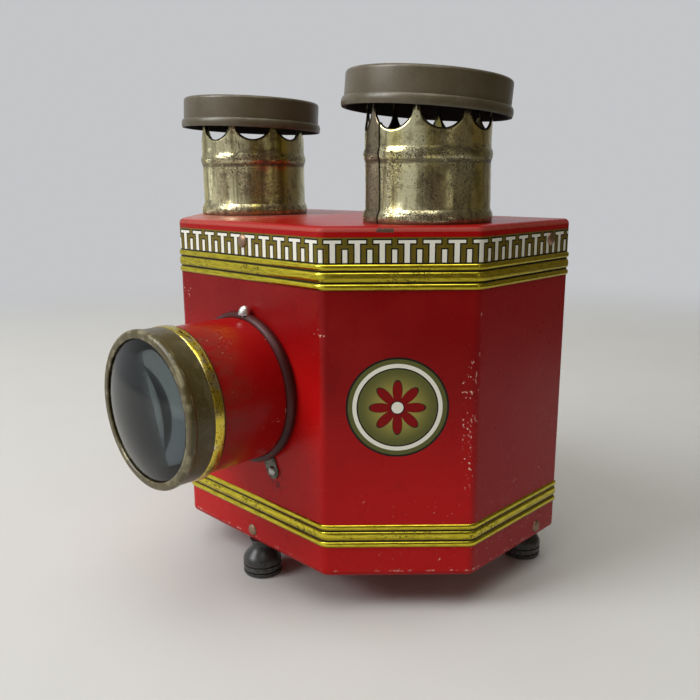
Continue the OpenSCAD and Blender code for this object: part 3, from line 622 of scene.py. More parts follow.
class Shader:
    """A material's node tree with short calls; any input takes a socket or a plain value."""

    def __init__(self, name):
        looks[name] = material = bpy.data.materials.new(name)
        material.use_nodes = True
        self.tree = material.node_tree
        self.bsdf = self.tree.nodes["Principled BSDF"]

    def feed(self, socket, value):
        if isinstance(value, bpy.types.NodeSocket):
            self.tree.links.new(value, socket)
        elif isinstance(value, tuple) and socket.type == "RGBA":
            socket.default_value = (*value, 1.0)
        else:
            socket.default_value = value

    def node(self, kind, inputs=None, **settings):
        made = self.tree.nodes.new("ShaderNode" + kind)
        for key, value in settings.items():
            setattr(made, key, value)
        for key, value in (inputs or {}).items():
            self.feed(made.inputs[key], value)
        return made

    def math(self, operation, a, b=0.0):
        return self.node("Math", {0: a, 1: b}, operation=operation).outputs[0]

    times = partialmethod(math, "MULTIPLY")
    plus = partialmethod(math, "ADD")
    minus = partialmethod(math, "SUBTRACT")
    above = partialmethod(math, "GREATER_THAN")
    below = partialmethod(math, "LESS_THAN")
    larger = partialmethod(math, "MAXIMUM")
    size = partialmethod(math, "ABSOLUTE")

    def gap(self, a, b):
        """How far apart two numbers are."""
        return self.size(self.minus(a, b))

    def split(self, vector):
        """A vector's x, y and z."""
        return self.node("SeparateXYZ", {0: vector}).outputs

    def ramp(self, value, low, high):
        """0 at low, 1 at high, smooth between; low may be above high."""
        inputs = {"Value": value, "From Min": low, "From Max": high}
        return self.node("MapRange", inputs, interpolation_type="SMOOTHSTEP").outputs["Result"]

    def within(self, value, low, high):
        """1 where low < value < high."""
        return self.times(self.above(value, low), self.below(value, high))

    def both(self, *masks):
        return reduce(self.times, masks)

    def either(self, *masks):
        return reduce(self.larger, masks)

    def unless(self, mask):
        return self.minus(1.0, mask)

    def mix(self, factor, a, b):
        """A colour between a and b."""
        return self.node("Mix", {0: factor, 6: a, 7: b}, data_type="RGBA").outputs[2]

    def layers(self, colour, *coats):
        """A colour under coats, each a mask and its colour."""
        for mask, coat in coats:
            colour = self.mix(mask, colour, coat)
        return colour

    def blend(self, factor, a, b):
        """A number between a and b."""
        return self.node("Mix", {0: factor, 2: a, 3: b}).outputs[0]

    @cache
    def place(self, stretch=EVEN):
        """The piece's own coordinates in millimetres, each axis scaled."""
        coordinates = self.node("TexCoord").outputs["Object"]
        scale = tuple(share / MM for share in stretch)
        return self.node("VectorMath", {0: coordinates, 1: scale}, operation="MULTIPLY").outputs[0]

    def axes(self):
        """The piece's own coordinates in millimetres, one by one."""
        return self.split(self.place())

    def facing(self):
        """The surface's own direction, axis by axis."""
        return self.split(self.node("TexCoord").outputs["Normal"])

    def from_point(self, x, y, at):
        """Distance in a plane from a point."""
        dx = self.minus(x, at[0])
        dy = self.minus(y, at[1])
        return self.math("SQRT", self.plus(self.times(dx, dx), self.times(dy, dy)))

    def noise(self, scale, detail=3.0, roughness=0.55, stretch=EVEN):
        inputs = {"Vector": self.place(stretch), "Scale": scale, "Detail": detail, "Roughness": roughness}
        return self.node("TexNoise", inputs).outputs["Fac"]

    def patches(self, scale, low, high, detail=3.0, roughness=0.55, stretch=EVEN):
        """Soft-edged patches where noise is high: none below low, full above high."""
        return self.ramp(self.noise(scale, detail, roughness, stretch), low, high)

    def cracks(self, scale, stretch):
        """Distance to the nearest border of random cells."""
        inputs = {"Vector": self.place(stretch), "Scale": scale}
        return self.node("TexVoronoi", inputs, feature="DISTANCE_TO_EDGE").outputs["Distance"]

    def attribute(self, name):
        return self.node("Attribute", attribute_name=name).outputs["Fac"]

    def bump(self, height, depth):
        """Height from 0 to 1 as a bump of that many millimetres."""
        inputs = {"Height": height, "Strength": 1.0, "Distance": depth * MM}
        return self.node("Bump", inputs).outputs["Normal"]

    def finish(self, **values):
        for key, value in values.items():
            self.feed(self.bsdf.inputs[key.replace("_", " ").title().replace("Ior", "IOR")], value)


# Colours of print, lacquer, wear and grime, and of painted light and shade
RED = (0.21, 0.002, 0.003)
RED_FADED = (0.25, 0.006, 0.006)
# A brighter red: fresher print, and on the printed strip painted light
RED_FRESH_AND_LIT = (0.46, 0.005, 0.005)
RED_SIDE_PAINTED_LIGHT = (0.31, 0.011, 0.014)
PRIMER = (0.70, 0.46, 0.40)
DUST_AND_SHEEN = (0.62, 0.36, 0.28)
DIRT = (0.10, 0.010, 0.008)
RUST = (0.06, 0.025, 0.012)
GOLD = (0.72, 0.61, 0.05)
GOLD_DARK = (0.36, 0.29, 0.012)
GOLD_PAINTED_SHADE = (0.15, 0.11, 0.006)
BLACK_INK_AND_SHADE = (0.012, 0.010, 0.008)
CREAM = (0.78, 0.77, 0.68)
DULL_TIN_AND_SHADE = (0.15, 0.135, 0.115)
RUBBED = (0.10, 0.055, 0.040)
SCUFFED = (0.15, 0.045, 0.028)
OLIVE = (0.26, 0.17, 0.022)
OLIVE_GREEN = (0.14, 0.135, 0.022)
GILT = (0.34, 0.29, 0.07)
GILT_DARK = (0.10, 0.105, 0.03)
PALE_GOLD = (0.69, 0.64, 0.39)
YELLOW_GOLD = (0.67, 0.56, 0.09)
STREAK = (0.17, 0.12, 0.03)
PATINA = (0.20, 0.16, 0.07)
LAPPED = (0.30, 0.245, 0.155)
GRIME_AND_SHADE = (0.06, 0.042, 0.022)
PIT = (0.03, 0.022, 0.012)
RED_PAINTED_REFLECTION = (0.30, 0.09, 0.05)
BRASS = (0.72, 0.56, 0.07)
PALE_BRASS = (0.66, 0.58, 0.36)
BRASS_DIRT_AND_SHADE = (0.05, 0.035, 0.012)
LUG = (0.16, 0.16, 0.13)
LUG_DARK = (0.045, 0.045, 0.035)
WORN_BLACK = (0.16, 0.15, 0.14)


def red_print(s, chips, fresh_and_lit=0.4):
    """Colour, chip mask and roughness of varnished red print.

    chips raises the wear; the last argument raises the brightness, as a plain share or, on the printed
    strip, as a gradient of painted light that brightens towards the bottom."""
    stains = s.times(s.patches(0.10, 0.58, 0.80, 2.0, 0.6), 0.2)
    red = s.layers(RED, (s.patches(0.035, 0.35, 0.75), RED_FADED), (fresh_and_lit, RED_FRESH_AND_LIT), (stains, DIRT))
    flecks = s.noise(0.75, 2.0, 0.6)
    bare = s.above(flecks, s.blend(chips, 0.80, 0.635))
    lines = s.cracks(0.11, (0.8, 0.8, 1.25))
    broken = s.patches(0.13, s.blend(chips, 0.76, 0.64), 0.78, 2.0)
    scratch = s.both(s.below(lines, 0.008), s.above(broken, 0.2))
    rough = s.blend(s.noise(0.07), 0.24, 0.32)
    return red, s.either(bare, scratch), rough


VARNISH_SPECULAR = 0.14


def varnished(s, colour, metallic, roughness):
    """Finishes a sheet that isn't quite flat."""
    waves = s.bump(s.noise(0.022, 1.0), 0.4)
    s.finish(base_color=colour, metallic=metallic, roughness=roughness, normal=waves,
        specular_ior_level=VARNISH_SPECULAR)


# A bare spot on the top plate's rim, over the right slanted wall
CHIP_ALONG = 27
CHIP_HALF = 4.2
CHIP_DROP = (1.0, 2.6)


def rim_chip(s):
    """The bare spot's mask."""
    x, y, z = s.axes()
    slant = direction(45)
    along = s.plus(s.times(s.minus(x, FRONT_W / 2), slant[0]),
        s.times(s.minus(y, FRONT_Y), slant[1]))
    out = s.minus(x, y)
    ragged = s.times(s.noise(0.8), 1.4)
    reach = s.plus(s.gap(along, CHIP_ALONG), ragged)
    drop = s.plus(s.minus(TOP_Z, z), s.minus(ragged, 0.7))
    rim = s.above(out, FRONT_W / 2 - FRONT_Y - 2 * RIM_R)
    return s.both(s.below(reach, CHIP_HALF), s.within(drop, *CHIP_DROP), rim)


def rim_rub(s):
    """Grey-brown rubbing along the left part of the top plate's rim."""
    x, _, z = s.axes()
    rim = s.within(z, TOP_Z - 2 * RIM_R, TOP_Z - 0.3)
    left = s.ramp(x, -FRONT_W / 4, -FRONT_W / 2 - 10)
    return s.both(rim, left, s.patches(0.28, 0.50, 0.60, 4.0, 0.7, (1, 1, 1.5)), 0.7)


def red_material():
    """Red plates, with dull tin, darkened as painted shade, on the faces that look into the housing from the
    back.
    """
    s = Shader("red_tin")
    red, worn, rough = red_print(s, 0.0, 0.5)
    x, y, z = s.axes()
    _, back, up = s.facing()
    inside = s.both(s.below(back, -0.6), s.above(y, REAR_Y - REAR_FLANGE))
    # Dust and painted light: upward faces on the left are paled, partly as dust and partly as a painted
    # reflection of the bright backdrop; the rim's rounding is paled as dust and a painted highlight.
    dust_and_sheen = s.both(s.ramp(up, 0.6, 0.9), s.ramp(x, 10, -BODY_W / 3),
        s.blend(s.patches(0.05, 0.3, 0.6, 4.0), 0.2, 0.45))
    rim_dust_and_highlight = s.both(s.above(z, TOP_Z - RIM_R), s.ramp(up, 0.9, 0.4), 0.16)
    colour = s.layers(red, (s.either(dust_and_sheen, rim_dust_and_highlight), DUST_AND_SHEEN), (worn, PRIMER),
        (s.either(rim_chip(s), rim_rub(s)), RUBBED), (inside, DULL_TIN_AND_SHADE))
    varnished(s, colour, s.times(inside, 0.6), rough)


def tube_material():
    """Red lens tube, scuffed where the hand holds it."""
    s = Shader("red_tube")
    y = s.axes()[1]
    bezel_y = node_box("lens_bezel")[1][1]
    scuffs = s.both(s.ramp(y, bezel_y + 24, bezel_y + 2),
        s.patches(0.22, 0.30, 0.70, 4.0, 0.7, (1, 0.5, 1)))
    marks = s.times(s.patches(0.045, 0.50, 0.62, 1.0), 0.8)
    red, worn, rough = red_print(s, s.either(marks, s.times(scuffs, 0.6)))
    varnished(s, s.layers(red, (s.times(scuffs, 0.55), SCUFFED), (worn, PRIMER)), 0.0, rough)


# The fret border's repeat and strokes, in millimetres
FRET_PITCH = 10.35
FRET_LINE = 0.6
FRET_STEM = 1.1
FRET_ARM = 3.6
FRET_ARM_Z = (8.6, 9.9)
FRET_BAR = 1.0
FRET_BAR_TOP = 6.0
FRET_REPEATS = 10000


def fret(s, along, height):
    """White strokes and black outlines of the T-shaped border, repeated along the strip."""
    from_bar = s.math("PINGPONG", s.plus(along, FRET_REPEATS * FRET_PITCH), FRET_PITCH / 2)
    from_stem = s.minus(FRET_PITCH / 2, from_bar)

    def strokes(grow):
        arm = s.both(s.below(from_stem, FRET_ARM + grow),
            s.within(height, FRET_ARM_Z[0] - grow, FRET_ARM_Z[1] + grow))
        stem = s.both(s.below(from_stem, FRET_STEM + grow), s.below(height, FRET_ARM_Z[0] + grow))
        bar = s.both(s.below(from_bar, FRET_BAR + grow), s.below(height, FRET_BAR_TOP + grow))
        return s.either(arm, stem, bar)

    base = s.below(height, FRET_LINE)
    white = s.both(strokes(0.0), s.unless(base))
    return white, s.either(strokes(FRET_LINE), base)


# Roundel on the right slanted wall: plain rings and a rosette, in millimetres
ROUNDEL_AT = (84.5, 99.0)
ROUNDEL_R = 22.5
ROUNDEL_BORDER = 0.9
ROUNDEL_RING = (17.2, 17.8, 19.6)
PETAL_R = (4.5, 12.5)
PETAL_LINE = 0.6
PETAL_PAIRS = 4
EYE_R = (2.6, 3.1)


def roundel(s, along, height):
    """Masks of the roundel's disc, black line work, light parts and red petals, and its shading."""
    x, y = s.minus(along, ROUNDEL_AT[0]), s.minus(height, ROUNDEL_AT[1])
    r = s.from_point(along, height, ROUNDEL_AT)
    petals = s.size(s.math("COSINE", s.times(s.math("ARCTAN2", y, x), PETAL_PAIRS)))
    leaf = s.blend(petals, *PETAL_R)
    leaf_in = s.minus(leaf, PETAL_LINE)
    rings = s.either(s.within(r, ROUNDEL_R - ROUNDEL_BORDER, ROUNDEL_R), s.within(r, *ROUNDEL_RING[:2]))
    petal_line = s.both(s.above(r, leaf_in), s.below(r, leaf))
    ink = s.either(rings, petal_line, s.within(r, *EYE_R))
    light = s.either(s.within(r, *ROUNDEL_RING[1:]), s.below(r, EYE_R[0]))
    crimson = s.both(s.below(r, leaf_in), s.above(r, EYE_R[1]))
    return s.below(r, ROUNDEL_R), ink, light, crimson, s.ramp(r, PETAL_R[0], ROUNDEL_RING[0])


# Chipped spots near the front wall's upper corners: place along and up, and where wear starts and is full
CHIPPED_SPOTS = [((5 - FRONT_W / 2, TOP_BAND_Z - 10), (7, 2)), ((FRONT_W / 2 - 1, TOP_BAND_Z - 19), (8, 1))]


def chip_zones(s, along, height):
    """Where the print is worn most: both side folds, the foot of the right slanted wall and two spots."""
    middle = s.both(s.ramp(height, LOW_BAND_Z + 8, LOW_BAND_Z + 40),
        s.ramp(height, TOP_BAND_Z, TOP_BAND_Z - 45))
    right = s.both(middle, s.ramp(s.gap(along, FOLD_AT - 4), 4.5, 1.5))
    left = s.ramp(s.gap(along, -FOLD_AT), 6.0, 0.5)
    low = s.both(s.ramp(height, LOW_BAND_Z + 45, LOW_BAND_Z + 12),
        s.ramp(along, FRONT_W / 2, FRONT_W / 2 + 20))
    spots = [s.ramp(s.from_point(along, height, place), *reach) for place, reach in CHIPPED_SPOTS]
    return s.either(right, s.times(left, 0.5), s.times(low, 0.5), *spots)


def fold_scratch(s, along, height):
    """Thin broken scratches down the upper half of the right-hand fold."""
    wander = s.times(s.minus(s.noise(0.09, 2.0), 0.5), 7.0)
    line = s.ramp(s.gap(s.minus(along, FOLD_AT), wander), 0.32, 0.16)
    reach = s.within(height, (LOW_BAND_Z + TOP_BAND_Z) / 2, TOP_BAND_Z - 8)
    return s.both(line, reach, s.patches(0.26, 0.55, 0.62), 0.6)


def lug_stain(s, along, height):
    """Dark grime round the collar's two lower lugs on the front wall."""
    low, high = node_box("collar_rivets")
    lug = ((high[0] - low[0]) / 2, low[2])
    near = s.ramp(s.from_point(s.size(along), height, lug), 10.0, 3.0)
    return s.both(near, s.patches(0.45, 0.48, 0.60, 4.0, 0.7))


def print_material():
    """The printed strip: red field, reeded gold bands, fret border and roundel, with their wear."""
    s = Shader("printed_tin")
    place = s.split(s.node("UVMap", uv_map="print").outputs[0])
    along, height = s.times(place[0], 1 / MM), s.times(place[1], 1 / MM)
    # Painted light: the red grows brighter towards the bottom of the walls, as if lit by light bounced up
    # from the floor; on the front from just under the upper band, on the slanted and side walls lower down.
    front = s.ramp(s.size(along), FRONT_W / 2 + 2, FRONT_W / 2 - 2)
    shaded = s.ramp(height, TOP_BAND_Z - 32, LOW_BAND_Z + 16)
    bright = s.ramp(height, TOP_BAND_Z - 5, TOP_BAND_Z - 60)
    fresh_and_lit = s.times(s.blend(front, shaded, bright), 0.9)
    red, worn, rough = red_print(s, chip_zones(s, along, height), fresh_and_lit)
    # Painted light: the side walls get a duller, bluer red of their own, for how light falls on them.
    side = s.ramp(s.size(along), FOLD_AT - 2, FOLD_AT + 2)
    worn = s.either(worn, fold_scratch(s, along, height))
    red = s.layers(red, (s.times(side, 0.9), RED_SIDE_PAINTED_LIGHT), (s.times(lug_stain(s, along, height), 0.85), BLACK_INK_AND_SHADE))

    bands = s.either(*[s.within(height, z, z + BAND_H) for z in BANDS_Z])
    fret_z = TOP_BAND_Z + BAND_H
    in_fret = s.above(height, fret_z)
    white, outlines = [s.both(in_fret, mask) for mask in fret(s, along, s.minus(height, fret_z))]
    disc, roundel_ink, roundel_light, crimson, shade = roundel(s, along, height)

    step_low = REED_NARROW + REED_VALLEY / 2
    step_high = step_low + REED_WIDE + REED_VALLEY
    lines = [z + step for z in BANDS_Z for step in (step_low, step_high)]
    valley = s.either(*[s.ramp(s.gap(height, z), 0.52, 0.26) for z in lines])
    wide = s.either(*[s.within(height, z + step_low, z + step_high) for z in BANDS_Z])

    streaks = s.noise(0.6, 4.0, 0.6, (0.25, 0.25, 2.2))
    dark = s.times(s.ramp(streaks, 0.42, 0.66), 0.7)
    # Painted shade: the lower part of each reed is darkened as if in its own shade.
    feet = [(z + start, h) for z in BANDS_Z for start, h in REEDS]
    under = s.either(*[s.both(s.within(height, z, z + h), s.ramp(height, z + 0.55 * h, z + 0.15 * h))
        for z, h in feet])
    grime = s.both(s.patches(1.3, 0.52, 0.62, 3.0, 0.7, (0.5, 0.5, 1.0)),
        s.patches(0.045, 0.46, 0.62, 1.0), s.blend(wide, 0.3, 0.9))
    metal = s.layers(GOLD, (dark, GOLD_DARK), (s.times(under, 0.5), GOLD_PAINTED_SHADE),
        (s.either(grime, valley), BLACK_INK_AND_SHADE))
    olive = s.mix(s.noise(0.25, 2.0), OLIVE, OLIVE_GREEN)
    gilt = s.mix(shade, GILT, GILT_DARK)

    edge = s.both(s.ramp(height, WALL_LOW + 1.0, WALL_LOW + 0.4),
        s.patches(0.3, 0.53, 0.62, 4.0, 0.7), 0.7)
    field = s.either(bands, in_fret, disc)
    bare = s.either(edge, s.both(worn, s.unless(s.times(field, 0.6))))
    colour = s.layers(red, (bands, metal), (in_fret, olive), (disc, gilt), (s.both(disc, crimson), RED),
        (s.either(outlines, s.both(disc, roundel_ink)), BLACK_INK_AND_SHADE),
        (s.either(white, s.both(disc, roundel_light)), CREAM), (bare, PRIMER))
    ink = s.either(white, outlines, s.times(bands, s.either(valley, grime)))
    shine = s.both(s.either(bands, s.times(in_fret, 0.55)), s.unless(ink))
    roughness = s.blend(bands, rough, s.blend(streaks, 0.14, 0.28))
    varnished(s, colour, shine, roughness)


def stack_bore(s):
    """The inside of either chimney, which is painted near-black as shade."""
    x, y, _ = s.axes()
    return s.below(s.from_point(s.size(x), y, STACK_AXIS[:2]), STACK_R - SHEET)


def gold_material():
    """Gold-lacquered tin: pale and yellow streaks, brown lapped strip, dark pits gathered at the beads,
    grime with painted shade, a painted red reflection at the foot and near-black painted shade inside.
    """
    s = Shader("gold_tin")
    height = s.minus(s.axes()[2], TOP_Z)
    strip, slit, bore = s.attribute("strip"), s.attribute("slit"), stack_bore(s)
    yellow = s.patches(0.07, 0.42, 0.66, 2.0, stretch=(1, 1, 0.10))
    streaks = s.patches(0.30, 0.50, 0.72, stretch=(1, 1, 0.08))
    patina = s.patches(0.16, 0.50, 0.66, 4.0, 0.65)

    near = [s.ramp(s.gap(height, z), BEAD_H, 1.0) for z in (BEAD_H / 2, MID_BEAD_Z + BEAD_H / 2)]
    zones = s.patches(0.06, 0.38, 0.60, 2.0, stretch=(1, 1, 0.6))
    crowd = s.either(s.times(zones, 0.9), s.times(s.either(*near), 0.9))
    pits = s.either(s.above(s.noise(2.4, 3.0, 0.7), s.blend(crowd, 0.63, 0.535)),
        s.above(s.noise(0.9, 4.0, 0.8), s.blend(crowd, 0.67, 0.575)))
    grime_and_shade = s.both(s.either(*near), s.patches(0.35, 0.52, 0.64, 4.0, 0.7, (1, 1, 1.6)))
    # Dirt and painted shade: a dark band in the crease under the middle bead, and painted shadow along the
    # foot where it meets the top plate.
    crevice_dirt_and_shade = s.both(s.ramp(s.gap(height, MID_BEAD_Z), 1.5, 0.4), s.patches(0.5, 0.30, 0.50, 4.0, 0.7))
    grime_and_shade = s.either(grime_and_shade, crevice_dirt_and_shade, s.ramp(height, 1.6, 0.4))
    # Painted reflection: a reddish band at the foot, for the red top plate mirrored in the tin.
    painted_red_reflection = s.times(s.ramp(height, 5.0, 0.0), 0.15)
    colour = s.layers(PALE_GOLD, (yellow, YELLOW_GOLD), (s.times(streaks, 0.65), STREAK),
        (s.times(patina, 0.55), PATINA), (strip, LAPPED), (s.times(grime_and_shade, 0.8), GRIME_AND_SHADE), (pits, PIT),
        (painted_red_reflection, RED_PAINTED_REFLECTION), (s.either(slit, bore), BLACK_INK_AND_SHADE))
    dull = s.either(pits, slit, bore, s.times(grime_and_shade, 0.6))
    rough = s.blend(s.noise(0.4, 4.0), 0.15, 0.32)
    relief = s.minus(s.noise(0.08, 2.0), s.times(pits, 0.15))
    s.finish(base_color=colour, metallic=s.unless(s.times(dull, 0.8)),
        roughness=s.either(rough, s.times(dull, 0.6), s.times(strip, 0.26)),
        normal=s.bump(relief, 0.3))


LACQUER_ROUGH = (0.28, 0.40)


def lacquer_material(name, colour, shade, worn_colour, wear, specular, second):
    """Satin lacquer with thinly rubbed edges and fine dust; second adds another finish by place."""
    s = Shader(name)
    dust = s.times(s.patches(1.8, 0.56, 0.70, 3.0, 0.7), 0.25)
    edge = s.attribute("wear")
    rub = s.both(edge, s.patches(0.22, 0.45, 0.65), wear)
    fleck = s.above(s.noise(1.3, 2.0), s.blend(edge, 0.80, 0.71))
    worn = s.either(rub, fleck)
    mask, tone, metal, matt = second(s)
    base = s.layers(colour, (s.patches(0.06, 0.35, 0.7), shade), (dust, worn_colour), (worn, worn_colour),
        (mask, tone))
    roughness = s.blend(s.noise(0.4, 4.0), *LACQUER_ROUGH)
    s.finish(base_color=base, metallic=s.blend(mask, s.times(worn, 0.8), metal),
        roughness=s.blend(mask, roughness, matt), normal=s.bump(s.noise(0.5), 0.03),
        specular_ior_level=specular)


def cap_underside_painted_shade(s):
    """Near-black painted shade on a cap's underside and on the inside of its skirt."""
    facing = s.facing()
    x, y, _ = s.axes()
    out = s.times(s.minus(s.size(x), STACK_AXIS[0]), s.math("SIGN", x))
    inward = s.plus(s.times(facing[0], out), s.times(facing[1], s.minus(y, STACK_AXIS[1])))
    skirt = s.below(inward, -CAP_R / 2)
    return s.either(s.below(facing[2], -0.7), skirt), BLACK_INK_AND_SHADE, 0.0, 0.8


def bezel_ring(s):
    """Bright speckled gold on the bezel's rear ring, dirty in spots, with a painted shadow line at its rear
    edge.
    """
    end = node_box("lens_bezel")[1][1] + BEZEL_RING_BACK
    y = s.axes()[1]
    mask = s.above(y, end - BEZEL_RING_L)
    spots = s.patches(1.0, 0.54, 0.62, 3.0, 0.7)
    pale = s.patches(0.12, 0.5, 0.7, 2.0)
    gold = s.mix(pale, BRASS, PALE_BRASS)
    # Painted shadow: a dark line where the ring meets the tube.
    joint_painted_shadow = s.ramp(y, end - 1.3, end - 0.7)
    dark = s.either(s.times(spots, 0.85), joint_painted_shadow)
    return mask, s.mix(dark, gold, BRASS_DIRT_AND_SHADE), s.unless(joint_painted_shadow), 0.2


def bare_lug(s):
    """Worn grey-green metal on the collar's lugs, outside its bead."""
    x, _, z = s.axes()
    bead_r = TUBE_R + SLIDE_GAP + SHEET + COLLAR_OUT + FIT_GAP
    mask = s.above(s.from_point(x, z, (LENS_AXIS[0], LENS_AXIS[2])), bead_r)
    tone = s.noise(0.5, 4.0, 0.65)
    return mask, s.mix(s.ramp(tone, 0.4, 0.65), LUG, LUG_DARK), 0.6, 0.48


def metal_material(name, colour, shade, rough, grain, tarnish):
    """Plain metal with grain, tarnish and fine scratches."""
    s = Shader(name)
    lines = s.noise(1.2, 4.0, 0.6, grain)
    spots = s.times(s.patches(0.9, 0.62, 0.72, 3.0, 0.7), tarnish)
    base = s.layers(colour, (s.patches(0.12, 0.4, 0.75, 4.0), shade), (spots, RUST))
    s.finish(base_color=base, metallic=s.unless(spots), roughness=s.blend(lines, *rough),
        normal=s.bump(lines, 0.02))


def solid_material(name, colour, shade, rough, coat, specular):
    """Turned or moulded black pieces and porcelain."""
    s = Shader(name)
    edge = s.both(s.attribute("wear"), s.patches(0.8, 0.4, 0.6), 0.5)
    base = s.layers(colour, (s.patches(0.3, 0.35, 0.7, 4.0), shade), (edge, WORN_BLACK))
    s.finish(base_color=base, roughness=s.blend(s.noise(0.9, 4.0), *rough),
        normal=s.bump(s.noise(1.2, 4.0), 0.03), coat_weight=coat, specular_ior_level=specular)


def glass_material(name, tint, rough, ior):
    s = Shader(name)
    smears = s.patches(0.08, 0.45, 0.8, 4.0, 0.6, (1, 0.4, 0.4))
    s.finish(base_color=tint, transmission_weight=1.0, ior=ior, roughness=s.blend(smears, *rough))


# Colour, shade, worn colour, wear of the edges, specular level and second finish
LACQUERS = {
    "taupe_tin": ((0.095, 0.076, 0.046), (0.070, 0.056, 0.028), (0.30, 0.27, 0.20), 0.25, 0.5, cap_underside_painted_shade),
    "olive_tin": ((0.070, 0.052, 0.012), (0.056, 0.042, 0.009), (0.38, 0.34, 0.22), 0.9, 0.5, bezel_ring),
    "collar_tin": ((0.060, 0.008, 0.008), (0.036, 0.007, 0.007), (0.16, 0.06, 0.05), 0.4, 0.25, bare_lug),
}

# Colour, shade, roughness from and to, the grain's stretch and the share of tarnish
METALS = {
    "bare_tin": ((0.60, 0.58, 0.54), (0.46, 0.44, 0.40), (0.28, 0.46), (1, 1, 0.1), 0.3),
    # Dull aged tin inside the housing, darkened further as painted shade.
    "inside_tin_and_shade": ((0.20, 0.18, 0.155), (0.13, 0.115, 0.095), (0.45, 0.60), EVEN, 0.6),
    "bright_tin": ((0.80, 0.80, 0.79), (0.68, 0.67, 0.65), (0.30, 0.42), EVEN, 0.1),
    "steel": ((0.50, 0.49, 0.47), (0.33, 0.32, 0.30), (0.26, 0.44), (0.3, 1, 1), 0.3),
    "rivet_metal": ((0.34, 0.22, 0.15), (0.22, 0.15, 0.10), (0.36, 0.52), EVEN, 0.5),
    "lamp_brass": ((0.62, 0.45, 0.16), (0.46, 0.32, 0.11), (0.2, 0.36), EVEN, 0.3),
}

# Colour, shade, roughness from and to, coat and specular level
SOLIDS = {
    "porcelain": ((0.74, 0.70, 0.62), (0.66, 0.62, 0.53), (0.10, 0.22), 0.6, 0.5),
    "foot_black": ((0.024, 0.024, 0.024), (0.038, 0.038, 0.037), (0.24, 0.42), 0.0, 0.5),
    "knob_black": ((0.020, 0.015, 0.012), (0.035, 0.024, 0.018), (0.22, 0.38), 0.3, 0.5),
    "fibre_black": ((0.020, 0.019, 0.018), (0.03, 0.028, 0.026), (0.5, 0.7), 0.0, 0.5),
    "tube_black": ((0.010, 0.009, 0.008), (0.016, 0.014, 0.012), (0.8, 0.95), 0.0, 0.0),
}

# Tint, roughness from and to, and refraction
GLASSES = {
    # The lens's tint is dark: painted shade for the dark housing seen through it.
    "lens_tinted_shade": ((0.12, 0.15, 0.155), (0.0, 0.004), 1.38),
    "lamp_clear": ((0.97, 0.97, 0.95), (0.01, 0.03), 1.50),
}

red_material()
tube_material()
print_material()
gold_material()
for make, table in ((lacquer_material, LACQUERS), (metal_material, METALS), (solid_material, SOLIDS),
        (glass_material, GLASSES)):
    for name, values in table.items():
        make(name, *values)

# Pieces that stand for their CAD nodes

# Each chimney's rise to its cap in millimetres, and the cap's lean and the seam's place in degrees
CHIMNEYS = {"left": (45, 2.5, 60), "right": (47, 4.5, -122)}

use_materials(printed_wall(), "printed_tin", "inside_tin_and_shade")
use_materials(top_plate(), "red_tin", "inside_tin_and_shade")
bottom = drawn_plate("bottom_plate_rolled", "bottom_plate", FLOOR_Z, -1, WALL_LOW - FLOOR_Z)
use_materials(bottom, "red_tin", "inside_tin_and_shade")
use_materials(lens_tube(), "red_tube", "tube_black")
use_materials(lens_bezel(), "olive_tin")
use_materials(lens_glass(), "lens_tinted_shade")
for side, (rise, lean, seam) in CHIMNEYS.items():
    use_materials(chimney(side, rise, lean, seam), "gold_tin")
    use_materials(chimney_cap(side, rise, lean), "taupe_tin")
for name in ("foot_front", "foot_rear_left", "foot_rear_right"):
    use_materials(foot(name), "foot_black")

# CAD nodes that keep their shape

FINISHES = {
    "red_tin": ["back_panel", "door_panel"],
    "collar_tin": ["lens_collar"],
    "bare_tin": ["reflector_left", "reflector_right", "card_rail_top", "card_rail_bottom",
        "stack_neck_left", "stack_neck_right"],
    "bright_tin": ["collar_screw"],
    "steel": ["collar_rivets", "socket_screws", "reflector_rivets", "knob_screw", "door_catch",
        "hinge_leaf_body", "hinge_leaf_door", "hinge_pin", "hinge_rivets_body", "hinge_rivets_door",
        "foot_screws"],
    "rivet_metal": ["wall_rivets", "back_rivets"],
    "lamp_brass": ["lamp_base_left", "lamp_base_right"],
    "lamp_clear": ["lamp_glass_left", "lamp_glass_right"],
    "porcelain": ["lamp_socket_left", "lamp_socket_right"],
    "knob_black": ["door_knob"],
    "fibre_black": ["cord_bushing"],
}
for finish, names in FINISHES.items():
    for name in names:
        use_materials(nodes[name], finish)

# Stage, in metres: a round pale sweep of floor and wall, dimmer on the room's side
FLOOR_RING = 0.4
FLOOR_R = 1.3
BEND_R = 0.9
SWEEP_H = 2.6
PALE = (0.62, 0.62, 0.61)
BACKDROP = (0.55, 0.56, 0.575)
DIM = (0.11, 0.09, 0.06)
DIM_TOWARDS = 18
DIM_FROM = (0.40, 0.75)
DIM_TURN = (-0.15, 0.55)
BACKDROP_FROM = (0.55, 1.2)
CLOUD_SHADE = 0.94


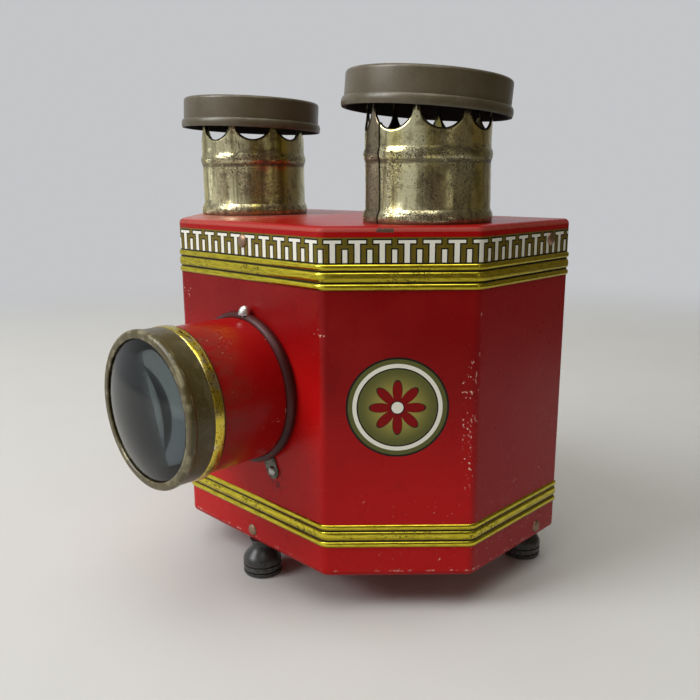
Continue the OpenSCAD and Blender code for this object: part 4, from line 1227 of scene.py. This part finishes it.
def sweep_material():
    """Diffuse floor that passes into an even backdrop, as cameras, mirrors and glass see it."""
    s = Shader("pale_floor")
    x, y, _ = s.split(s.node("TexCoord").outputs["Object"])
    far = s.from_point(x, y, (0.0, 0.0))
    side = direction(DIM_TOWARDS)
    reach = s.plus(s.times(x, side[0]), s.times(y, side[1]))
    room = s.both(s.ramp(far, *DIM_FROM), s.ramp(s.math("DIVIDE", reach, far), *DIM_TURN))
    rays = s.node("LightPath").outputs
    mirrored = s.both(room, s.unless(rays["Is Camera Ray"]))
    cloud = s.noise(0.012)
    floor = s.mix(cloud, PALE, tuple(CLOUD_SHADE * c for c in PALE))
    s.finish(base_color=s.mix(mirrored, floor, DIM), roughness=0.6, specular_ior_level=0.2)
    glow = s.node("Emission", {"Color": s.mix(mirrored, BACKDROP, DIM), "Strength": 1.0})
    seen = s.either(rays["Is Camera Ray"], rays["Is Glossy Ray"], rays["Is Transmission Ray"])
    even = s.both(seen, s.ramp(far, *BACKDROP_FROM))
    shown = s.node("MixShader", {0: even, 1: s.bsdf.outputs[0], 2: glow.outputs[0]})
    s.feed(s.tree.nodes["Material Output"].inputs["Surface"], shown.outputs[0])


def sweep(steps=96):
    """The floor that bends up into the backdrop."""
    bend = arc((FLOOR_R, BEND_R), BEND_R, -90, 0, 24)[1:]
    profile = [(0, 0), (FLOOR_RING, 0), (FLOOR_R, 0), *bend, (FLOOR_R + BEND_R, SWEEP_H)]
    points = [p for r, z in profile for p in circle(r, z, steps)]
    rows = np.arange(len(points)).reshape(-1, steps).tolist()
    faces = [face for low, high in zip(rows, rows[1:]) for face in between(low, high)]
    made = add_mesh("sweep", points, faces)
    made.data.polygons.foreach_set("use_smooth", [True] * len(faces))
    sweep_material()
    use_materials(made, "pale_floor")


# Each light's place, size, power and colour
LIGHT_AIM = (0, 0, 0.12)
LIGHTS = {
    "window": ((-0.60, -1.28, 1.30), (0.9, 1.1), 26, (0.98, 0.99, 1.0)),
    "ceiling": ((0.2, -0.5, 2.2), (2.0, 2.0), 26, (1.0, 0.98, 0.93)),
    "strip": ((1.45, -0.25, 0.35), (0.16, 0.9), 0.3, (1.0, 0.96, 0.80)),
}
ROOM = {"Color": (1.0, 0.96, 0.86, 1.0), "Strength": 0.35}

sweep()
for name, (place, size, power, colour) in LIGHTS.items():
    light = bpy.data.lights.new(name, "AREA")
    light.shape = "RECTANGLE"
    light.size, light.size_y = size
    light.energy = power
    light.color = colour
    lamp = add_object(name, light)
    lamp.location = place
    lamp.rotation_euler = (Vector(LIGHT_AIM) - Vector(place)).to_track_quat("-Z", "Y").to_euler()
world = bpy.data.worlds.new("room")
world.use_nodes = True
for key, value in ROOM.items():
    world.node_tree.nodes["Background"].inputs[key].default_value = value
bpy.context.scene.world = world

# Camera, as the photograph was taken: place in metres, angles in degrees
CAMERA_AT = (0.28317, -0.254754, 0.19671)
CAMERA_AZIMUTH = 44.69
CAMERA_DROP = 12.80
CAMERA_ROLL = -0.30
FOCAL_PIXELS = 761.05
IMAGE_PIXELS = 700
SENSOR = 36.0
CLIP_START = 0.01

data = bpy.data.cameras.new("camera")
data.sensor_width = SENSOR
data.lens = FOCAL_PIXELS / IMAGE_PIXELS * SENSOR
data.clip_start = CLIP_START
camera = add_object("camera", data)
aim = rotation(CAMERA_AZIMUTH, "Z") @ rotation(90 - CAMERA_DROP, "X") @ rotation(CAMERA_ROLL, "Z")
camera.matrix_world = Matrix.Translation(CAMERA_AT) @ aim
bpy.context.scene.camera = camera
bpy.context.scene.view_settings.view_transform = "Standard"
